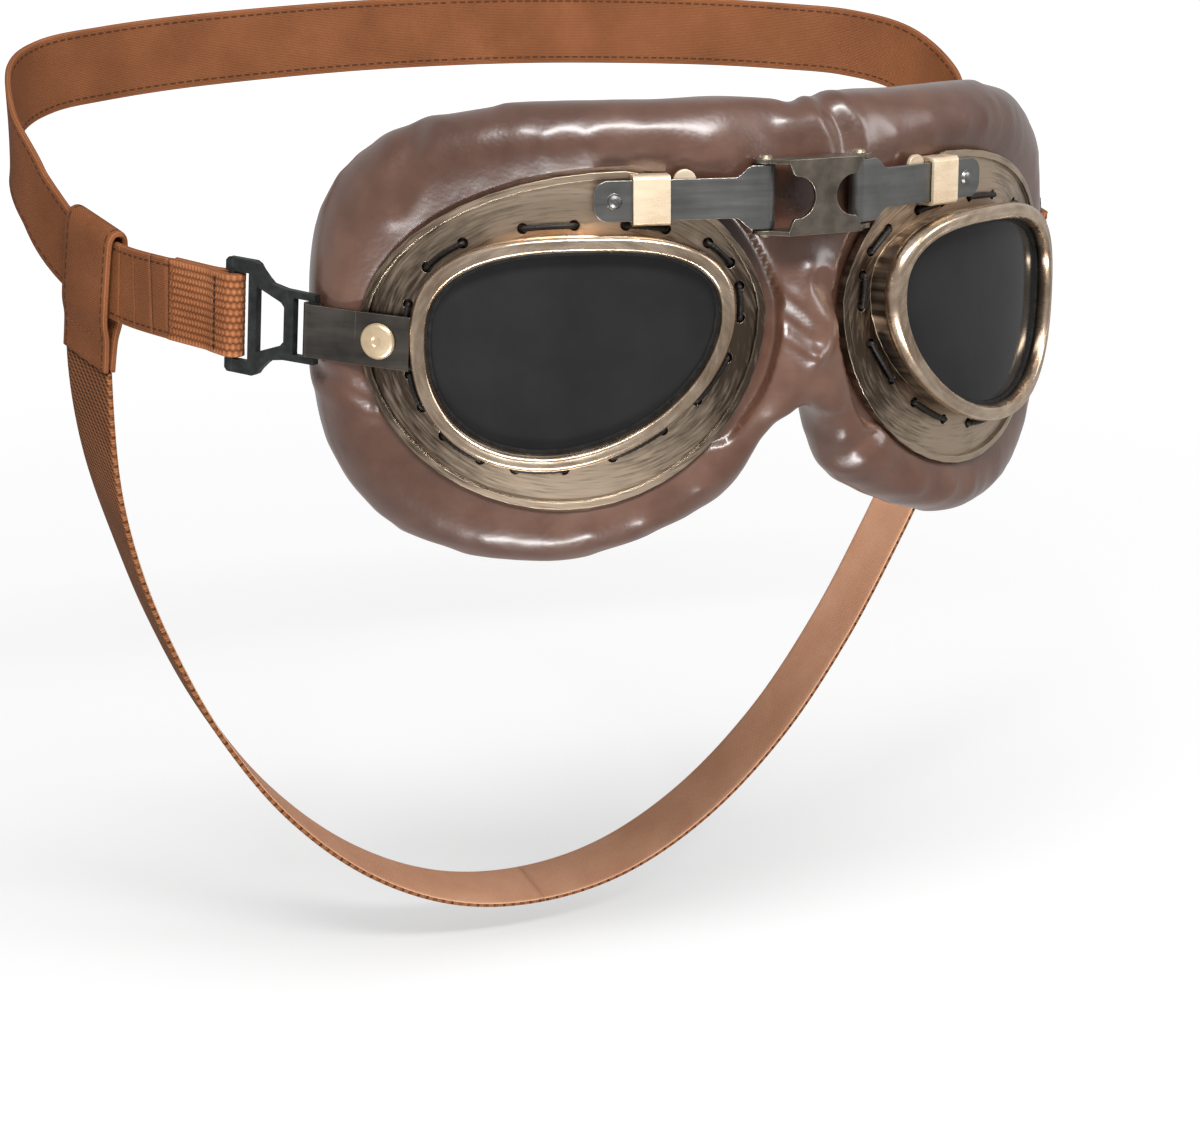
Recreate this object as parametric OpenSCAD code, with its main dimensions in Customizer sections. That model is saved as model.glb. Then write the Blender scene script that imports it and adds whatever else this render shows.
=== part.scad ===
// Padded goggles for a dog, on an elastic head strap with a chin strap.
// Millimetres. +X is the wearer's left as seen from in front, the lenses face -Y, +Z is up.
// The origin is the middle of the cushion's face side, between the eyes.

/* [Cups] */
// Distance from the mid plane to the centre of each cup
cup_x = 53; // [50:0.5:60]
// How far each cup centre lies behind the face side of the nose pad
cup_y = 2.3; // [0:0.1:6]
// Angle by which each cup turns back towards the temple
cup_toe = 25.4; // [18:0.2:30]
// Radius to which each cup is bent about an upright axis
bend_r = 130; // [115:1:180]
// Width of the lens in sight
lens_w = 66; // [60:0.5:70]
// Height of the lens in sight
lens_h = 46; // [40:0.5:50]
// Thickness of the lens
lens_t = 1.4; // [1:0.1:2.4]
// Depth of the seat that the lens rests in, under its edge
lens_edge = 1.3; // [0.8:0.1:1.5]

/* [Pressed frame] */
// Reach of the flange towards the nose
flange_nose = 44; // [41:0.5:46]
// Reach of the flange towards the temple
flange_temple = 49.2; // [46:0.2:52]
// Reach of the flange above the lens centre
flange_top = 40.2; // [39.5:0.1:43]
// Reach of the flange below the lens centre
flange_bottom = 37.2; // [34:0.2:40]
// Sheet thickness of the pressed frame
sheet_t = 1; // [0.8:0.1:1.4]
// Height of the collar that carries the lens
collar_h = 4.8; // [3.8:0.1:7]
// Wall of the collar
collar_wall = 1; // [0.7:0.1:1.2]
// Radius of the edge bead that stiffens the flange
bead_r = 0.8; // [0.5:0.1:1.2]
// Number of lacing holes in each frame
hole_count = 22; // [16:2:28]
// Radius of a lacing hole
hole_r = 1.25; // [1:0.05:1.6]
// Distance of the lacing holes from the collar
hole_gap = 2.6; // [2.2:0.1:4]
// Radius of the lacing cord
lace_r = 0.6; // [0.4:0.05:0.8]

/* [Bezel] */
// Width of the rolled bezel, seen from in front
bezel_w = 3.9; // [3.2:0.1:4.4]
// Height of the rolled bezel above the collar
bezel_h = 3.4; // [2.4:0.1:4.5]
// Width of the rubber gasket that shows inside the bezel
gasket_show = 0.8; // [0.4:0.1:1.4]
// Thickness of the gasket
gasket_t = 0.5; // [0.3:0.05:0.9]

/* [Bridge] */
// Distance from the mid plane to each hinge pin
pin_x = 12.2; // [11:0.1:14]
// Front-to-back place of the hinge pins
pin_y = -12.8; // [-14:0.1:-11.5]
// Height of the bridge above the lens centres
bridge_z = 34; // [33:0.1:36]
// Radius of a hinge pin
pin_r = 1; // [0.7:0.05:1.2]
// Width of the bridge plate
plate_w = 18.8; // [16.4:0.2:20]
// Play between the arm and each folded ear of the bridge
ear_play = 0.4; // [0.2:0.05:0.9]
// Sheet thickness of the bridge
plate_t = 1; // [0.8:0.05:1.3]
// Distance from the pins forward to the plate's face
plate_reach = 6.4; // [5.4:0.1:8]
// Radius of the notch in each side of the plate
notch_r = 4.7; // [4:0.1:5.4]
// Width left between the two notches
waist_w = 5.4; // [4:0.1:8]
// Radius of the round ears about the pins
ear_r = 2.8; // [2.4:0.1:3.2]

/* [Arms] */
// Angle by which each arm turns back
arm_turn = 15.5; // [12:0.1:20]
// Thickness of the arm
arm_t = 1.1; // [0.8:0.05:1.4]
// Height of the arm at the hinge
arm_wide = 14.2; // [12:0.1:14.4]
// Height of the narrow part of the arm
arm_h = 9.1; // [7:0.1:9.6]
// Length of the wide part, from the pin
arm_wide_len = 3.3; // [2.6:0.1:5]
// Length of the arm from the pin to its tip
arm_len = 39.5; // [36:0.1:42]
// Distance from the pin to the stop pip
pip_at = 34.8; // [33:0.1:36]
// Radius of the stop pip
pip_r = 1.7; // [1.2:0.1:2.2]
// Distance from the pin to the middle of the keeper
keeper_at = 26.5; // [25:0.1:28]
// Length of the keeper along the arm
keeper_len = 8.4; // [6:0.1:9]
// Sheet thickness of the keeper
keeper_t = 0.9; // [0.6:0.05:1.1]
// Gap between the arm and the keeper on each side
slide_gap = 0.15; // [0.1:0.01:0.25]

/* [Side tab and buckle] */
// Height of the side tab
tab_h = 12.4; // [10:0.1:14]
// Sheet thickness of the side tab
tab_t = 1.2; // [0.8:0.05:1.4]
// Length of the straight part of the tab past the flange
tab_leg = 11.5; // [10.8:0.1:16]
// Angle by which the tab and strap rise to the back
tab_rise = 4; // [0:0.5:6]
// Radius of the head of the tab rivet
rivet_r = 4.2; // [3:0.1:5]
// Radius of the bar that the tab is curled around
bar_r = 1; // [0.7:0.05:1.2]
// Turn of the buckle from the tab
buckle_turn = 9; // [4:0.5:14]
// Distance between the tab bar and the strap bar
buckle_len = 23.5; // [21.5:0.1:26]
// Height of the buckle at the strap bar
buckle_h = 27.4; // [25.4:0.1:30]
// Height of the buckle at the tab bar
buckle_tab_h = 16.4; // [16:0.1:18]
// Thickness of the buckle
buckle_t = 2; // [1.6:0.1:2.4]
// Radius of the strap bar
strap_bar_r = 1.2; // [0.9:0.05:1.4]

/* [Strap] */
// Width of the elastic strap
strap_w = 20; // [16:0.5:21]
// Thickness of the elastic strap
strap_t = 1.6; // [1.2:0.05:2]
// Turn of the strap end from the buckle
strap_turn = 9; // [4:0.5:14]
// Length of the sewn strap end behind its bar
sewn_len = 21; // [18:0.5:25]
// Width of the chin strap
chin_w = 20; // [14:0.5:21]
// Thickness of the chin strap
chin_t = 1.6; // [1.2:0.05:2]

/* [Cushion] */
// Reach of the cushion towards the temple
pad_temple = 59.5; // [57:0.5:61]
// Reach of the cushion above the lens centre
pad_top = 55; // [50:0.5:58]
// Reach of the cushion below the lens centre
pad_bottom = 49.5; // [44:0.5:53]
// Depth of the cushion behind the frame
pad_depth = 18; // [14:0.5:22]
// Half width of the soft nose part
nose_half = 16; // [15.6:0.1:17.5]
// Thickness of the cushion at the nose
nose_t = 15.5; // [13:0.5:18]

/* [Hidden] */
$fn = 64;
air = 0.3;
fit = 0.1;

// Shape of the lens: where its four extremes lie and how full its quarters are
nose_rise = 8;
brow_shift = -5;
temple_rise = 1;
cheek_shift = 7;
lens_full = [2.7, 2.65, 1.8, 2.25];
flange_full = [2, 1.6, 2, 2];
pad_full = [2.6, 4.5, 1.4, 2.7];

function rotz(p, a) = [p[0] * cos(a) - p[1] * sin(a), p[0] * sin(a) + p[1] * cos(a), p[2]];
function roty(p, a) = [p[0] * cos(a) + p[2] * sin(a), p[1], p[2] * cos(a) - p[0] * sin(a)];
function mix(a, b, t) = a + (b - a) * t;
function smooth(t) = let (s = max(0, min(1, t))) s * s * (3 - 2 * s);
function unit(v) = v / norm(v);

// A closed outline of four quarters between its extremes e, t, n and b, each [x, z]
function quarter(cx, cz, a, b, full, t0, steps) = [for (i = [0 : steps - 1])
  let (t = t0 + 90 * i / steps,
       k = pow(pow(abs(cos(t)), full) + pow(abs(sin(t)), full), -1 / full))
  [cx + a * k * cos(t), cz + b * k * sin(t)]];
function outline(e, t, n, b, full, steps) = concat(
  quarter(t[0], e[1], e[0] - t[0], t[1] - e[1], full[0], 0, steps),
  quarter(t[0], n[1], t[0] - n[0], t[1] - n[1], full[1], 90, steps),
  quarter(b[0], n[1], b[0] - n[0], n[1] - b[1], full[2], 180, steps),
  quarter(b[0], e[1], e[0] - b[0], e[1] - b[1], full[3], 270, steps));
function lens_line(d, steps = 12) = outline([lens_w / 2 + d, temple_rise],
  [brow_shift, lens_h / 2 + d], [-lens_w / 2 - d, nose_rise],
  [cheek_shift, -lens_h / 2 - d], lens_full, steps);
function flange_line(d, steps = 12) = outline([flange_temple + d, 2], [-12, flange_top + d],
  [-flange_nose - d, nose_rise], [3, -flange_bottom - d], flange_full, steps);

// A point of the cup at projected place x, height z and height w over the bent flange
function cup_local(x, z, w) = [x, bend_r - sqrt(pow(bend_r + w, 2) - x * x), z];
function cup_pt(p) = rotz(p, cup_toe) + [cup_x, cup_y, 0];

module cup_frame() translate([cup_x, cup_y, 0]) rotate([0, 0, cup_toe]) children();
module at_bend(a) translate([0, bend_r, 0]) rotate([0, 0, a]) translate([0, -bend_r, 0])
  children();
module shell(w0, w1) translate([0, bend_r, -70]) difference() {
  cylinder(r = bend_r + w1, h = 140, $fn = 180);
  translate([0, 0, -1]) cylinder(r = bend_r + w0, h = 142, $fn = 180);
}
module cut_out(points) translate([0, 45, 0]) rotate([90, 0, 0]) linear_extrude(height = 60)
  polygon(points);
module bent(points, w0, w1) intersection() { shell(w0, w1); cut_out(points); }
module ring(outer, inner, w0, w1) difference() {
  bent(outer, w0, w1);
  cut_out(inner);
}
module both(side) if (side < 0) mirror([1, 0, 0]) children(); else children();

// A closed tube of rings of points, its ends joined or capped
module skin(rings, closed) {
  n = len(rings);
  m = len(rings[0]);
  quads = [for (i = [0 : (closed ? n : n - 1) - 1], j = [0 : m - 1])
    let (a = i * m + j, b = i * m + (j + 1) % m,
         c = ((i + 1) % n) * m + (j + 1) % m, d = ((i + 1) % n) * m + j)
    each [[a, b, c], [a, c, d]]];
  caps = closed ? [] : [[for (j = [m - 1 : -1 : 0]) j], [for (j = [0 : m - 1]) (n - 1) * m + j]];
  polyhedron(points = [for (r = rings) each r], faces = concat(quads, caps), convexity = 8);
}

// Pressed frame: bent flange, collar and lacing holes
collar_in = lens_edge + 0.3;
collar_out = collar_in + collar_wall;
lip_in = 0.2;
lens_top = collar_h - gasket_t;
hole_line = collar_out + hole_gap;
holes = lens_line(hole_line, 30);
function hole_index(i) = floor((i + 0.25) * len(holes) / hole_count);
function hole_at(i) = holes[hole_index(i) % len(holes)];
module frame_body() cup_frame() {
  difference() {
    union() {
      ring(flange_line(0), lens_line(collar_in), -sheet_t, 0);
      ring(lens_line(collar_out), lens_line(collar_in), -sheet_t, collar_h);
      ring(flange_line(0), flange_line(-2 * bead_r), -sheet_t, bead_r);
      ring(lens_line(collar_in + 0.01), lens_line(lip_in), lens_top - lens_t - sheet_t,
        lens_top - lens_t);
    }
    for (i = [0 : hole_count - 1]) let (h = hole_at(i))
      at_bend(asin(h[0] / bend_r)) translate([0, 6, h[1]]) rotate([90, 0, 0])
        cylinder(r = hole_r, h = 12, $fn = 20);
    rivet_place() rotate([90, 0, 0]) cylinder(r = rivet_shank + 0.05, h = 20, center = true, $fn = 24);
  }
}
module frame_right() color([0.55, 0.45, 0.30]) both(1) frame_body();
module frame_left() color([0.55, 0.45, 0.30]) both(-1) frame_body();

// Rolled bezel over the collar's front edge
bezel_shape = [[0, 0], [0, 0.32], [0.05, 0.68], [0.14, 0.9], [0.26, 1], [0.46, 0.96],
  [0.7, 0.97], [0.84, 0.9], [0.95, 0.68], [1, 0.36], [0.95, 0]];
bezel_seat = 0.05;
module bezel_body() cup_frame() {
  lines = [for (q = bezel_shape) lens_line(q[0] * bezel_w, 13)];
  skin([for (i = [len(lines[0]) - 1 : -1 : 0]) [for (k = [0 : len(bezel_shape) - 1])
    cup_local(lines[k][i][0], lines[k][i][1],
      collar_h + bezel_seat + bezel_shape[k][1] * bezel_h)]], true);
}
module bezel_right() color([0.72, 0.60, 0.40]) both(1) bezel_body();
module bezel_left() color([0.72, 0.60, 0.40]) both(-1) bezel_body();

// Lens and the gasket in front of it
module lens_body() cup_frame() bent(lens_line(lens_edge), lens_top - lens_t, lens_top);
module lens_right() color([0.12, 0.12, 0.13]) both(1) lens_body();
module lens_left() color([0.12, 0.12, 0.13]) both(-1) lens_body();
module gasket_body() cup_frame()
  ring(lens_line(lens_edge), lens_line(-gasket_show), lens_top, collar_h);
module gasket_right() color([0.05, 0.05, 0.05]) both(1) gasket_body();
module gasket_left() color([0.05, 0.05, 0.05]) both(-1) gasket_body();

// Lacing: one stitch over the flange between each two holes
lace_sides = 6;
lace_low = -0.8 * sheet_t;
module stitch(i) {
  k0 = hole_index(i);
  k1 = hole_index(i + 1);
  steps = 6;
  path = concat(
    [cup_local(holes[k0 % len(holes)][0], holes[k0 % len(holes)][1], lace_low)],
    [for (s = [0 : steps]) let (p = holes[round(mix(k0, k1, s / steps)) % len(holes)])
      cup_local(p[0], p[1], lace_r + 0.05 + 0.35 * sin(180 * s / steps))],
    [cup_local(holes[k1 % len(holes)][0], holes[k1 % len(holes)][1], lace_low)]);
  n = len(path);
  skin([for (j = [0 : n - 1])
    let (t = unit(path[min(j + 1, n - 1)] - path[max(j - 1, 0)]),
         side = unit([path[n - 2][2] - path[1][2], 0, path[1][0] - path[n - 2][0]]),
         u = unit(side - t * (side * t)), v = cross(t, u))
    [for (q = [0 : lace_sides - 1]) path[j] + lace_r * (cos(q * 360 / lace_sides) * u
      + sin(q * 360 / lace_sides) * v)]], false);
}
module lacing_body() cup_frame() for (i = [0 : 2 : hole_count - 1]) stitch(i);
module lacing_right() color([0.04, 0.04, 0.04]) both(1) lacing_body();
module lacing_left() color([0.04, 0.04, 0.04]) both(-1) lacing_body();

// Bridge plate: notched front, ears folded back top and bottom to hold the pins
plate_y = -plate_reach;
plate_h = arm_wide + 2 * (ear_play + plate_t);
notch_x = waist_w / 2 + notch_r;
neck = max(0.6, plate_w / 2 - notch_x);
neck_z = plate_h / 2 - 0.6 * plate_t;
neck_line = [[notch_x + 0.25 * neck, notch_r + 0.12], [notch_x + 0.5 * neck, notch_r + 0.6],
  [notch_x + 0.9 * neck, neck_z - 0.8], [notch_x + neck, neck_z], [notch_x + neck + 3, neck_z]];
module bridge_front() rotate([90, 0, 0]) linear_extrude(height = plate_t) difference() {
  square([plate_w, plate_h], center = true);
  for (s = [-1, 1]) scale([s, 1]) {
    translate([notch_x, 0]) circle(r = notch_r);
    polygon(concat([[notch_x, -notch_r]], [for (p = neck_line) [p[0], -p[1]]],
      [for (i = [len(neck_line) - 1 : -1 : 0]) neck_line[i]], [[notch_x, notch_r]]));
  }
}
module ear_outline() difference() {
  union() {
    translate([-plate_w / 2, plate_y]) square([plate_w, plate_reach]);
    for (s = [-1, 1]) translate([s * pin_x, 0]) circle(r = ear_r);
    polygon([[-plate_w / 2, plate_y], [plate_w / 2, plate_y], [pin_x + ear_r, 0],
      [pin_x, ear_r], [pin_x - ear_r, 0.5], [-pin_x + ear_r, 0.5], [-pin_x, ear_r],
      [-pin_x - ear_r, 0]]);
  }
  for (s = [-1, 1]) translate([s * pin_x, 0]) circle(r = pin_r, $fn = 32);
  translate([0, pin_x * 0.28]) circle(r = pin_x * 0.345);
}
module bridge_plate() color([0.42, 0.38, 0.30]) translate([0, pin_y, bridge_z]) {
  translate([0, plate_y + plate_t, 0]) bridge_front();
  for (s = [-1, 1]) translate([0, 0, s * (plate_h - plate_t) / 2 - plate_t / 2])
    linear_extrude(height = plate_t) ear_outline();
}
head_h = 0.7;
module pin_body() translate([pin_x, pin_y, bridge_z - plate_h / 2]) rotate_extrude($fn = 32)
  polygon([[0, -head_h], [pin_r + 0.2, -head_h], [pin_r + 0.7, 0], [pin_r, 0],
    [pin_r, plate_h], [pin_r + 0.7, plate_h], [pin_r + 0.2, plate_h + head_h],
    [0, plate_h + head_h]]);
module hinge_pin_right() color([0.85, 0.78, 0.6]) both(1) pin_body();
module hinge_pin_left() color([0.85, 0.78, 0.6]) both(-1) pin_body();

// Arm: curled around its pin, wide at the hinge, narrow through the keeper
curl_in = pin_r + fit;
curl_out = curl_in + arm_t;
module arm_frame() translate([pin_x, pin_y, bridge_z]) rotate([0, 0, arm_turn]) children();
tip_r = 3.4;
shoulder_len = 4;
shoulder = [for (i = [0 : 8]) [arm_wide_len + shoulder_len * i / 8,
  mix(arm_wide, arm_h, smooth(i / 8)) / 2]];
module arm_outline() {
  polygon(concat([[0, -arm_wide / 2]], [for (p = shoulder) [p[0], -p[1]]],
    [[arm_len - tip_r, -arm_h / 2], [arm_len - tip_r, arm_h / 2]],
    [for (i = [8 : -1 : 0]) shoulder[i]], [[0, arm_wide / 2]]));
  for (s = [-1, 1]) translate([arm_len - tip_r, s * (arm_h / 2 - tip_r)]) circle(r = tip_r);
  translate([arm_len - tip_r - 0.5, -arm_h / 2 + tip_r])
    square([tip_r + 0.5, arm_h - 2 * tip_r]);
}
module arm_body() arm_frame() {
  translate([0, -curl_in, 0]) rotate([90, 0, 0]) linear_extrude(height = arm_t) arm_outline();
  difference() {
    cylinder(r = curl_out, h = arm_wide, center = true, $fn = 40);
    cylinder(r = curl_in, h = arm_wide + 2, center = true, $fn = 40);
  }
  translate([pip_at, -curl_out, 0]) rotate([90, 0, 0]) rotate_extrude($fn = 32)
    polygon([[0, -0.2], [pip_r, -0.2], [pip_r, 0.15], [pip_r * 0.8, 0.6], [pip_r * 0.4, 0.85],
      [0, 0.9]]);
}
module arm_right() color([0.35, 0.36, 0.38]) both(1) arm_body();
module arm_left() color([0.35, 0.36, 0.38]) both(-1) arm_body();

// Keeper: a box loop that stands on the flange and holds the arm, with an ear on its base
slot_h = arm_h + 2 * slide_gap;
keeper_front = -curl_out - slide_gap - keeper_t;
keeper_h = slot_h + 2 * keeper_t;
keeper_near = keeper_at - keeper_len / 2;
fold_r = keeper_t + 0.15;
lug_r = 2.6;
lug_at = keeper_near - lug_r - 1.1;
lug_z = arm_h / 2 - 0.6;
module keeper_band() translate([keeper_near, 0, 0]) rotate([90, 0, 90])
  linear_extrude(height = keeper_len) {
    translate([keeper_front + fold_r, -keeper_h / 2]) square([20, keeper_h]);
    translate([keeper_front, -keeper_h / 2 + fold_r]) square([20, keeper_h - 2 * fold_r]);
    for (s = [-1, 1]) translate([keeper_front + fold_r, s * (keeper_h / 2 - fold_r)])
      circle(r = fold_r, $fn = 32);
  }
module keeper_base() translate([0, -curl_in + slide_gap + keeper_t, 0]) rotate([90, 0, 0])
  linear_extrude(height = keeper_t) {
    translate([lug_at - lug_r, -arm_h / 2 + 0.8])
      square([keeper_near + 1 - lug_at + lug_r, lug_z + arm_h / 2 - 0.8]);
    translate([lug_at, lug_z]) circle(r = lug_r, $fn = 48);
    translate([keeper_near, -slot_h / 2 - 0.2]) square([keeper_len, slot_h + 0.4]);
  }
module keeper_body() {
  difference() {
    arm_frame() keeper_band();
    arm_frame() translate([keeper_at - keeper_len, keeper_front + keeper_t, -slot_h / 2])
      cube([2 * keeper_len, 30, slot_h]);
    cup_frame() {
      translate([0, bend_r, 0]) cylinder(r = bend_r, h = 160, center = true, $fn = 180);
      ring(flange_line(0.02), flange_line(-2 * bead_r - 0.02), -0.5, bead_r + 0.02);
      ring(lens_line(hole_line + lace_r + 0.2), lens_line(hole_line - lace_r - 0.2), -0.5,
        2 * lace_r + 0.6);
    }
  }
  arm_frame() keeper_base();
}
module keeper_right() color([0.85, 0.72, 0.5]) both(1) keeper_body();
module keeper_left() color([0.85, 0.72, 0.5]) both(-1) keeper_body();

// Side tab: bent over the flange, then straight, then curled around the buckle's bar
rivet_shank = 1.5;
rivet_grip = bead_r + tab_t + sheet_t + 0.14;
tab_z = 1.2;
tab_start = lens_w / 2 + bezel_w + 0.4;
tab_end = flange_temple + 0.5;
rivet_x = (tab_start + flange_temple) / 2 + 0.6;
tab_angle = asin(tab_end / bend_r);
eye_in = bar_r + fit;
eye_out = eye_in + tab_t;
eye_y = eye_out - tab_t - bead_r;
module rivet_place() at_bend(asin(rivet_x / bend_r)) translate([0, 0, tab_z]) children();
module tab_frame() at_bend(tab_angle) translate([0, -bead_r, tab_z + (tab_end - rivet_x)
  * sin(tab_rise)]) rotate([0, -tab_rise, 0]) children();
module side_tab_body() cup_frame() difference() {
  union() {
    intersection() {
      shell(bead_r, bead_r + tab_t);
      translate([rivet_x, 40, tab_z]) rotate([0, -tab_rise, 0]) translate([tab_start - rivet_x, -60,
        -tab_h / 2]) cube([tab_end - tab_start + 0.3, 60, tab_h]);
    }
    tab_frame() {
      translate([-0.5, -tab_t, -tab_h / 2]) cube([tab_leg + 0.5, tab_t, tab_h]);
      translate([tab_leg, eye_out - tab_t, 0]) cylinder(r = eye_out, h = tab_h, center = true,
        $fn = 40);
    }
  }
  tab_frame() translate([tab_leg, eye_out - tab_t, 0])
    cylinder(r = eye_in, h = tab_h + 2, center = true, $fn = 40);
  rivet_place() rotate([90, 0, 0]) cylinder(r = rivet_shank + 0.05, h = 20, center = true, $fn = 24);
}
module side_tab_right() color([0.45, 0.40, 0.34]) both(1) side_tab_body();
module side_tab_left() color([0.45, 0.40, 0.34]) both(-1) side_tab_body();

module rivet_body() cup_frame() rivet_place() translate([0, -bead_r - tab_t - 0.12, 0])
  rotate([90, 0, 0]) rotate_extrude($fn = 48)
    polygon([[0, -rivet_grip - 0.2], [rivet_shank + 0.9, -rivet_grip - 0.2],
      [rivet_shank + 0.9, -rivet_grip], [rivet_shank, -rivet_grip], [rivet_shank, 0],
      [rivet_r, 0], [rivet_r, 0.35], [rivet_r * 0.93, 0.75], [rivet_r * 0.82, 1],
      [rivet_r * 0.55, 1.16], [rivet_r * 0.3, 1.2], [rivet_r * 0.2, 0.95], [0, 0.9]]);
module tab_rivet_right() color([0.86, 0.76, 0.52]) both(1) rivet_body();
module tab_rivet_left() color([0.86, 0.76, 0.52]) both(-1) rivet_body();

// Ladder buckle: a round bar in the tab's eye, a window, and a strap bar
module buckle_frame() tab_frame() translate([tab_leg, eye_out - tab_t, 0])
  rotate([0, 0, buckle_turn]) children();
side_gap = 0.5;
rail_x = eye_out + 2.8;
rail_w = 2.7;
slot_x = buckle_len - strap_bar_r - strap_t - 2.4;
slot_rail = 2.4;
module buckle_outline() {
  ht = buckle_tab_h / 2;
  hs = buckle_h / 2;
  side = [[-bar_r, ht], [rail_x + rail_w, ht + 0.2], [slot_x - 6.6, ht + 0.9],
    [slot_x - 5.2, ht + 2], [slot_x - 3.5, hs - 1.8], [slot_x - 2.6, hs - 0.6],
    [slot_x - 1.4, hs], [buckle_len + 0.8, hs], [buckle_len + 1.6, hs - 0.8]];
  difference() {
    polygon(concat([for (p = side) [p[0], -p[1]]], [for (i = [len(side) - 1 : -1 : 0]) side[i]]));
    translate([-5, -tab_h / 2 - side_gap]) square([5 + rail_x, tab_h + 2 * side_gap]);
    polygon([[rail_x + rail_w, -ht * 0.5], [rail_x + rail_w + 0.9, -ht * 0.62],
      [slot_x - slot_rail, -hs * 0.57], [slot_x - slot_rail, hs * 0.57],
      [rail_x + rail_w + 0.9, ht * 0.62], [rail_x + rail_w, ht * 0.5]]);
    translate([slot_x, -strap_w / 2 - side_gap]) square([20, strap_w + 2 * side_gap]);
  }
}
module buckle_body() cup_frame() buckle_frame() {
  translate([0, buckle_t / 2, 0]) rotate([90, 0, 0]) linear_extrude(height = buckle_t)
    buckle_outline();
  cylinder(r = bar_r, h = buckle_tab_h, center = true, $fn = 32);
  translate([buckle_len, 0, 0]) cylinder(r = strap_bar_r, h = buckle_h - 0.6, center = true,
    $fn = 32);
}
module buckle_right() color([0.08, 0.08, 0.09]) both(1) buckle_body();
module buckle_left() color([0.08, 0.08, 0.09]) both(-1) buckle_body();

// Sewn strap end: the strap folded around the strap bar and stitched to itself
fold_in = strap_bar_r + fit;
fold_out = fold_in + strap_t;
module strap_frame() buckle_frame() translate([buckle_len, 0, 0]) rotate([0, 0, strap_turn])
  children();
module strap_end_body() cup_frame() strap_frame() translate([0, 0, -strap_w / 2])
  linear_extrude(height = strap_w) difference() {
    union() {
      circle(r = fold_out);
      polygon([[0, -fold_out], [2, -fold_out], [7, -strap_t], [sewn_len, -strap_t],
        [sewn_len, 0], [sewn_len - 1.2, strap_t], [7, strap_t], [2, fold_out], [0, fold_out]]);
    }
    circle(r = fold_in);
    polygon([[0, -fold_in], [1.6, -fold_in], [5.4, 0], [1.6, fold_in], [0, fold_in]]);
  }
module strap_end_right() color([0.50, 0.30, 0.17]) both(1) strap_end_body();
module strap_end_left() color([0.50, 0.30, 0.17]) both(-1) strap_end_body();

// Where a point of the sewn end lies in the shared frame
function bend_pt(p, a) = rotz(p - [0, bend_r, 0], a) + [0, bend_r, 0];
function tab_pt(p) = cup_pt(bend_pt(roty(p, -tab_rise) + [0, -bead_r, tab_z
  + (tab_end - rivet_x) * sin(tab_rise)], tab_angle));
function buckle_pt(p) = tab_pt(rotz(p, buckle_turn) + [tab_leg, eye_out - tab_t, 0]);
function strap_pt(p) = buckle_pt(rotz(p, strap_turn) + [buckle_len, 0, 0]);

// Routes of the soft straps, right half, from the front to the back
strap_start = strap_pt([sewn_len + air, -strap_t / 2, 0]);
strap_dir = unit(strap_pt([sewn_len + 10, 0, 0]) - strap_pt([sewn_len, 0, 0]));
back_route = [[129.5, 102, 6], [134, 115, 10], [138, 128, 17], [141.5, 140, 28], [143, 152, 40],
  [139, 167, 51], [127, 180, 56.5], [108, 188, 58.5], [84, 193, 59], [56, 196.5, 59], [28, 198.5, 59],
  [0, 199, 59]];
function curve(p0, p1, p2, p3, t) = 0.5 * (2 * p1 + (p2 - p0) * t
  + (2 * p0 - 5 * p1 + 4 * p2 - p3) * t * t + (3 * p1 - p0 - 3 * p2 + p3) * t * t * t);
function flip(p) = [-p[0], p[1], p[2]];

// A flat strap along points: w across, t through, its outer face on the right hand.
// The directions of its two ends may be given, and its width's direction at each point.
function heading(path, j, first, last) = j == 0 && norm(first) > 0 ? first
  : j == len(path) - 1 && norm(last) > 0 ? last
  : unit(path[min(j + 1, len(path) - 1)] - path[max(j - 1, 0)]);
module ribbon(path, w, t, first = [0, 0, 0], last = [0, 0, 0], across = []) {
  skin([for (j = [0 : len(path) - 1])
    let (d = heading(path, j, first, last),
         out = unit(cross(d, len(across) > 0 ? across[j] : [0, 0, 1])),
         up = len(across) > 0 ? across[j] : cross(out, d))
    [path[j] + up * w / 2 + out * t / 2, path[j] - up * w / 2 + out * t / 2,
     path[j] - up * w / 2 - out * t / 2, path[j] + up * w / 2 - out * t / 2]], false);
}
join_dir = unit(back_route[1] - strap_start);
back_steps = 3;
back_half = [for (i = [0 : len(back_route) - 2], s = [0 : back_steps - 1])
  let (m = len(back_route), p0 = i == 0 ? strap_start : back_route[i - 1],
       p3 = i + 2 < m ? back_route[i + 2] : flip(back_route[m - 2]))
  curve(p0, back_route[i], back_route[i + 1], p3, s / back_steps)];
back_path = concat(back_half, [back_route[len(back_route) - 1]],
  [for (i = [len(back_half) - 1 : -1 : 0]) flip(back_half[i])]);
module head_strap() color([0.50, 0.30, 0.17])
  ribbon(back_path, strap_w, strap_t, join_dir, -flip(join_dir));
side_path = [for (s = [0 : 5]) curve(strap_start - strap_dir * 20, strap_start,
  back_route[0] - join_dir * air, back_route[1], s / 5)];
module side_body() ribbon(side_path, strap_w, strap_t, strap_dir, join_dir);
module strap_side_right() color([0.50, 0.30, 0.17]) both(1) side_body();
module strap_side_left() color([0.50, 0.30, 0.17]) both(-1) side_body();

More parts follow.
